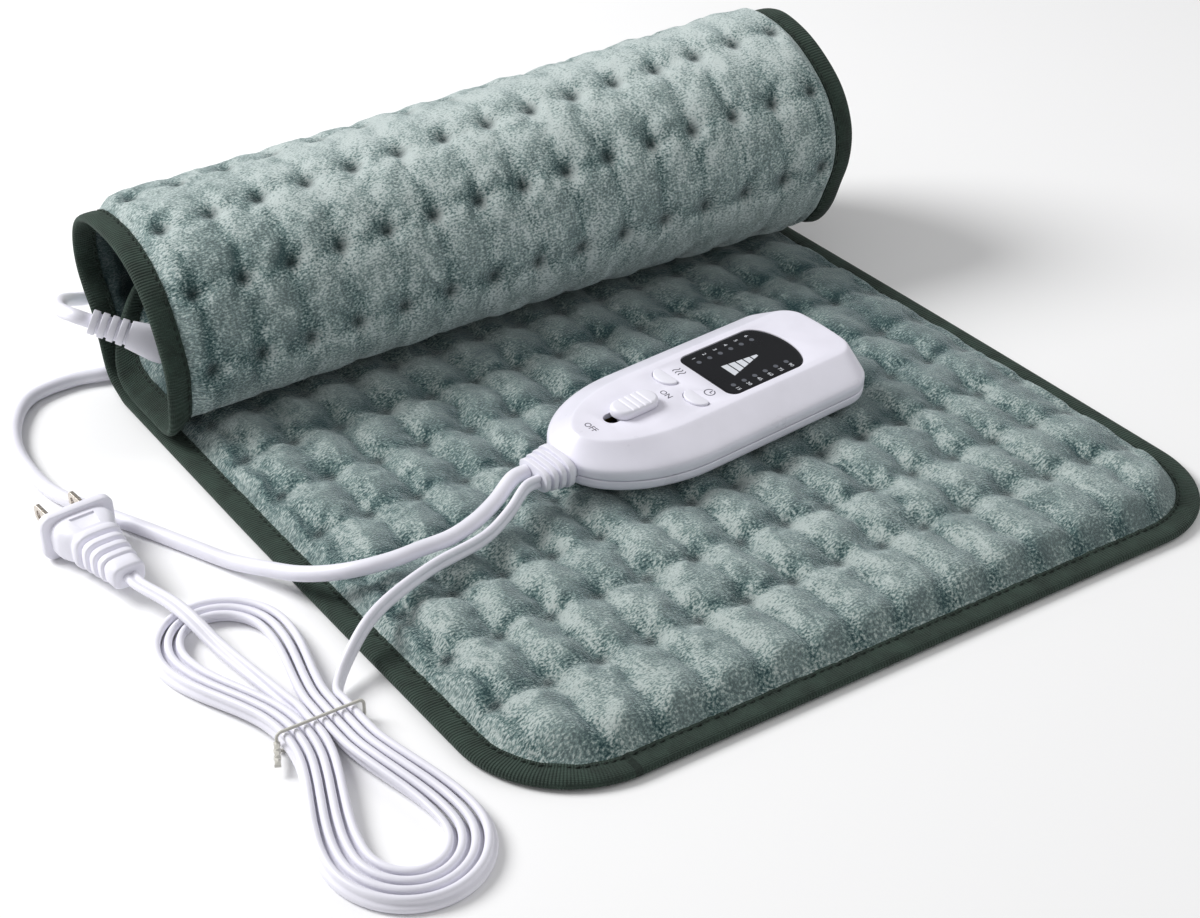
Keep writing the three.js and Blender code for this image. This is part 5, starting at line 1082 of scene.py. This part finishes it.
PAD_ROUTE = [
    [66.5, 125.3, 20.5], [56, 120.6, 19.4], [44.4, 117.5, 18.9], [33.4, 118, 18.4],
    [24.4, 118.5, 17.8], [13, 122.6, 16], [5.5, 129.4, 13.2], [-0.8, 138, 10.4],
    [-5.4, 149.6, 7], [-12.3, 165.9, 3.4], [-19.5, 182.3, 2.8], [-27.1, 198.9, 2.8],
    [-36, 217.5, 2.8], [-45.5, 240.6, 2.8], [-46.2, 272.2, 2.8], [-39.5, 292.8, 2.8],
    [-28.2, 307.1, 2.8], [-10.8, 310.7, 2.8], [6, 307, 3.5], [15, 310, 3.5], [30, 314, 3.5],
    [38, 328, 8], [25, 338, 18], [6, 332, 24], [-6, 320, 32], [-13, 303, 38],
]
LEAD_ROUTE = [
    [68.5, 119.2, 19, 88], [55.8, 113.6, 17, 86], [32.9, 109.5, 16.2, 84],
    [12.8, 103.4, 14.6, 82], [3.6, 99.4, 12.6, 80], [-4.6, 94.6, 9, 78], [-12.5, 88.5, 5, 77],
]
TAIL_ROUTE = [
    [-31, 90, 4, 66], [-33.5, 106, 4, 40], [-36.5, 125, 4.6, 24], [-39, 140, 7.4, 14], [-41, 150, 8.2, 6],
]
# Where the cords leave the controller's relief, the boot and the plug, and how far they run straight there
CORD_START, STRAIGHT, BOOT_END, PLUG_END = -77.1, 5.2, 29.7, 39.1
PAD_CORD_V, MAINS_V, PAD_CORD_WIDE, PAD_CORD_STRAIGHT = 3.2, -3.7, 5.4, 5.4
pad_route = [pad_place(HAND, CORD_START, PAD_CORD_V, RELIEF_Z),
             pad_place(HAND, CORD_START - PAD_CORD_STRAIGHT, PAD_CORD_V, RELIEF_Z), *PAD_ROUTE,
             pad_place(BOOT, BOOT_END + PAD_CORD_STRAIGHT), pad_place(BOOT, BOOT_END)]


def tube(name, path, sections, slot):
    """Rings along a path; sections gives offsets across it, and a fourth column of the path rolls them."""
    count_ = len(path)
    tangent = np.gradient(path[:, :3], axis=0)
    tangent /= np.linalg.norm(tangent, axis=1, keepdims=True)
    side = np.cross(tangent, [0, 0, 1])
    side /= np.maximum(np.linalg.norm(side, axis=1, keepdims=True), 1e-6)
    up = np.cross(side, tangent)
    roll = path[:, 3:4] if path.shape[1] > 3 else np.zeros((count_, 1))
    wide = side * np.cos(roll) + up * np.sin(roll)
    thick = np.cross(tangent, wide)
    across, down = sections[None, :, :1], sections[None, :, 1:]
    rings_ = path[:, None, :3] + wide[:, None] * across + thick[:, None] * down
    rings_[..., 2] = np.maximum(rings_[..., 2], 0.06)
    ob = loft(name, to_root(rings_))
    face_outward(ob)
    sharp_by_angle(ob, 60)
    return finish_piece(ob, slot)


def round_section(radius, sides=20):
    a = np.arange(sides) * math.tau / sides
    return np.column_stack([radius * np.cos(a), radius * np.sin(a)])


pad_path, pad_run = resample(centripetal(pad_route, 12), 300)
pad_cord = tube("pad_cord_sleeve", pad_path, round_section(PAD_CORD_WIDE / 2), "white_soft")
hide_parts("pad_cord")

# The hank's strand, as in the part's source
HANK = np.array([-27.6, 72.5])
LEG_STEPS, BEND_STEPS = 6, 12
AXIS_LOW, AXIS_UP = math.radians(-93), math.radians(94.5)
PITCH_W, SPLIT, PITCH_L = 3.3, 0.25, 3.7
FLAT_W, FLAT_T, STRAND_GAP = 5.2, 2.6, 0.6
WAIST_RUN, LIFT, REST = 5.0, 1.4, 0.25


def spaced_roll(spacing):
    return math.asin(min(1.0, (FLAT_T + STRAND_GAP) / spacing))


WAIST_ROLL = spaced_roll(PITCH_W)


def add_lobe(out, axis, centre, start, loop, side, length, half, end):
    """One lobe of the strand: out along a leg, round the bend and back, a pitch inside the lobe before it."""
    half_, end_, leg_end = half - loop * PITCH_L, end - loop * PITCH_L, length - end
    along = np.array([math.cos(axis), math.sin(axis)])
    bow = np.array([-along[1], along[0]])
    if bow[0] * side < 0:
        bow = -bow

    def leg(a):
        t = unit((a - WAIST_RUN) / (leg_end - WAIST_RUN))
        ease = smooth(t)
        slope = 6 * t * (1 - t) * (half_ - start) / (leg_end - WAIST_RUN)
        pitch = PITCH_W + (PITCH_L - PITCH_W) * ease
        return a, start + (half_ - start) * ease, spaced_roll(pitch / math.hypot(1, slope)), ease

    way_out = [leg(a) for a in np.linspace(WAIST_RUN, leg_end, LEG_STEPS + 1)]
    bend = [(leg_end + end_ * math.sin(angle), half_ * math.cos(angle), spaced_roll(PITCH_L), 1.0)
            for angle in np.linspace(0, math.pi, BEND_STEPS + 1)[1:-1]]
    way_back = [(a, -b, roll, ease) for a, b, roll, ease in way_out[::-1]]
    for a, b, roll, ease in way_out + bend + way_back:
        x, y = HANK + along * a + bow * b
        out.append([x + centre, y, REST + LIFT * (1 - ease) + FLAT_W / 2 * math.sin(roll), roll])


LOBE_LOW, LOBE_UP, LOOPS = (82, 23.8, 26), (78, 21.6, 24), 4
strand = []
for i in range(LOOPS):
    add_lobe(strand, AXIS_LOW, 0, (LOOPS - 0.5 - i) * PITCH_W + SPLIT, i, 1, *LOBE_LOW)
    if i < LOOPS - 1:
        add_lobe(strand, AXIS_UP, -PITCH_W / 2, (LOOPS - 1 - i) * PITCH_W + SPLIT, i, -1, *LOBE_UP)


def waist_end(slots, split):
    x = HANK[0] + WAIST_RUN * math.cos(AXIS_UP) + (slots - 0.5) * PITCH_W + split
    return [x, HANK[1] + WAIST_RUN * math.sin(AXIS_UP), strand[0][2], WAIST_ROLL]


strand = [waist_end(LOOPS, SPLIT), *strand, waist_end(0, -SPLIT)]


def beside(place_, distance):
    return [place_[0], place_[1] + distance, place_[2], WAIST_ROLL]


deg = math.radians
lead = [[*pad_place(HAND, u, MAINS_V, RELIEF_Z), deg(90)] for u in (CORD_START, CORD_START - STRAIGHT)]
lead += [[*row[:3], deg(row[3])] for row in LEAD_ROUTE] + [beside(strand[0], 5.5)]
tail_ = [beside(strand[-1], 5.5)] + [[*row[:3], deg(row[3])] for row in TAIL_ROUTE]
tail_ += [[*pad_place(PLUG, x), 0.0] for x in (PLUG_END + STRAIGHT, PLUG_END)]
mains_path, mains_run = resample(centripetal(lead + strand + tail_, 10), 1150)
wire = FLAT_W / 4
twin = np.vstack([arc(wire, 0, wire, wire, -142, 142, 11), arc(-wire, 0, wire, wire, 38, 322, 11)])
mains = tube("mains_lead", mains_path, twin, "white_soft")
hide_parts("power_lead", "power_hank", "power_tail")

# CAD nodes that stay get the finished materials, and the blades, tie and screws also get eased edges
for row in frame["record"]["subparts"]:
    ob = nodes[row["node"]]
    if ob.hide_render:
        continue
    ob.data.materials.clear()
    ob.data.materials.append(MAT[row["material_slot"]])
    if row["node"].startswith(("plug_blade", "hank_tie", "case_screw")):
        weld = ob.modifiers.new("weld", "WELD")
        weld.merge_threshold = 0.00001
        set_bevel(ob, 0.16, 2, 40)

to_root(pad_path[0, :3])
to_root(pad_path[::3, :3])
to_root(mains_path[0, :3])
to_root(mains_path[:, :3])

# ---- stage
FLOOR_HALF, FLOOR_TONE, SKY = 4, (0.94, 0.94, 0.945), 0.38
FOCAL_PX, FRAME_PX, SENSOR = 2098.17, 1200, 36
CAMERA_AT, CAMERA_DOWN, CAMERA_YAW = (-231.316, -378.695, 408.640), 32.426, -34.023

corners = [(x * FLOOR_HALF, y * FLOOR_HALF, 0) for x, y in ((-1, -1), (1, -1), (1, 1), (-1, 1))]
floor = make_mesh("floor", corners, [(0, 1, 2, 3)])
mat, nt, bsdf = new_material("floor_paper", FLOOR_TONE, 0.9)
bump(nt, bsdf, noise(nt, 300.0, 2.0, 0.5, object_place(nt)), 0.05, 0.0001)
floor.data.materials.append(mat)

world = bpy.data.worlds.new("studio")
world.use_nodes = True
set_inputs(world.node_tree.nodes["Background"], {"Color": (1, 1, 1, 1), "Strength": SKY})
scene.world = world


def lamp(name, at, size, power):
    light = bpy.data.lights.new(name, "AREA")
    light.shape = "DISK"
    light.size = size
    light.energy = power
    ob = add_object(name, light)
    ob.location = at
    ob.rotation_euler = (-Vector(at)).to_track_quat("-Z", "Y").to_euler()


lamp("key", (-0.9, 0.92, 1.08), 0.85, 27)
lamp("fill", (1.25, -0.6, 1.2), 1.4, 6)

cam = bpy.data.cameras.new("camera")
cam.sensor_width = SENSOR
cam.lens = FOCAL_PX / FRAME_PX * SENSOR
camera = add_object("camera", cam)
camera.location = to_root(CAMERA_AT)
camera.rotation_euler = (math.radians(90 - CAMERA_DOWN), 0, math.radians(CAMERA_YAW))
scene.camera = camera
scene.view_settings.view_transform = "Standard"
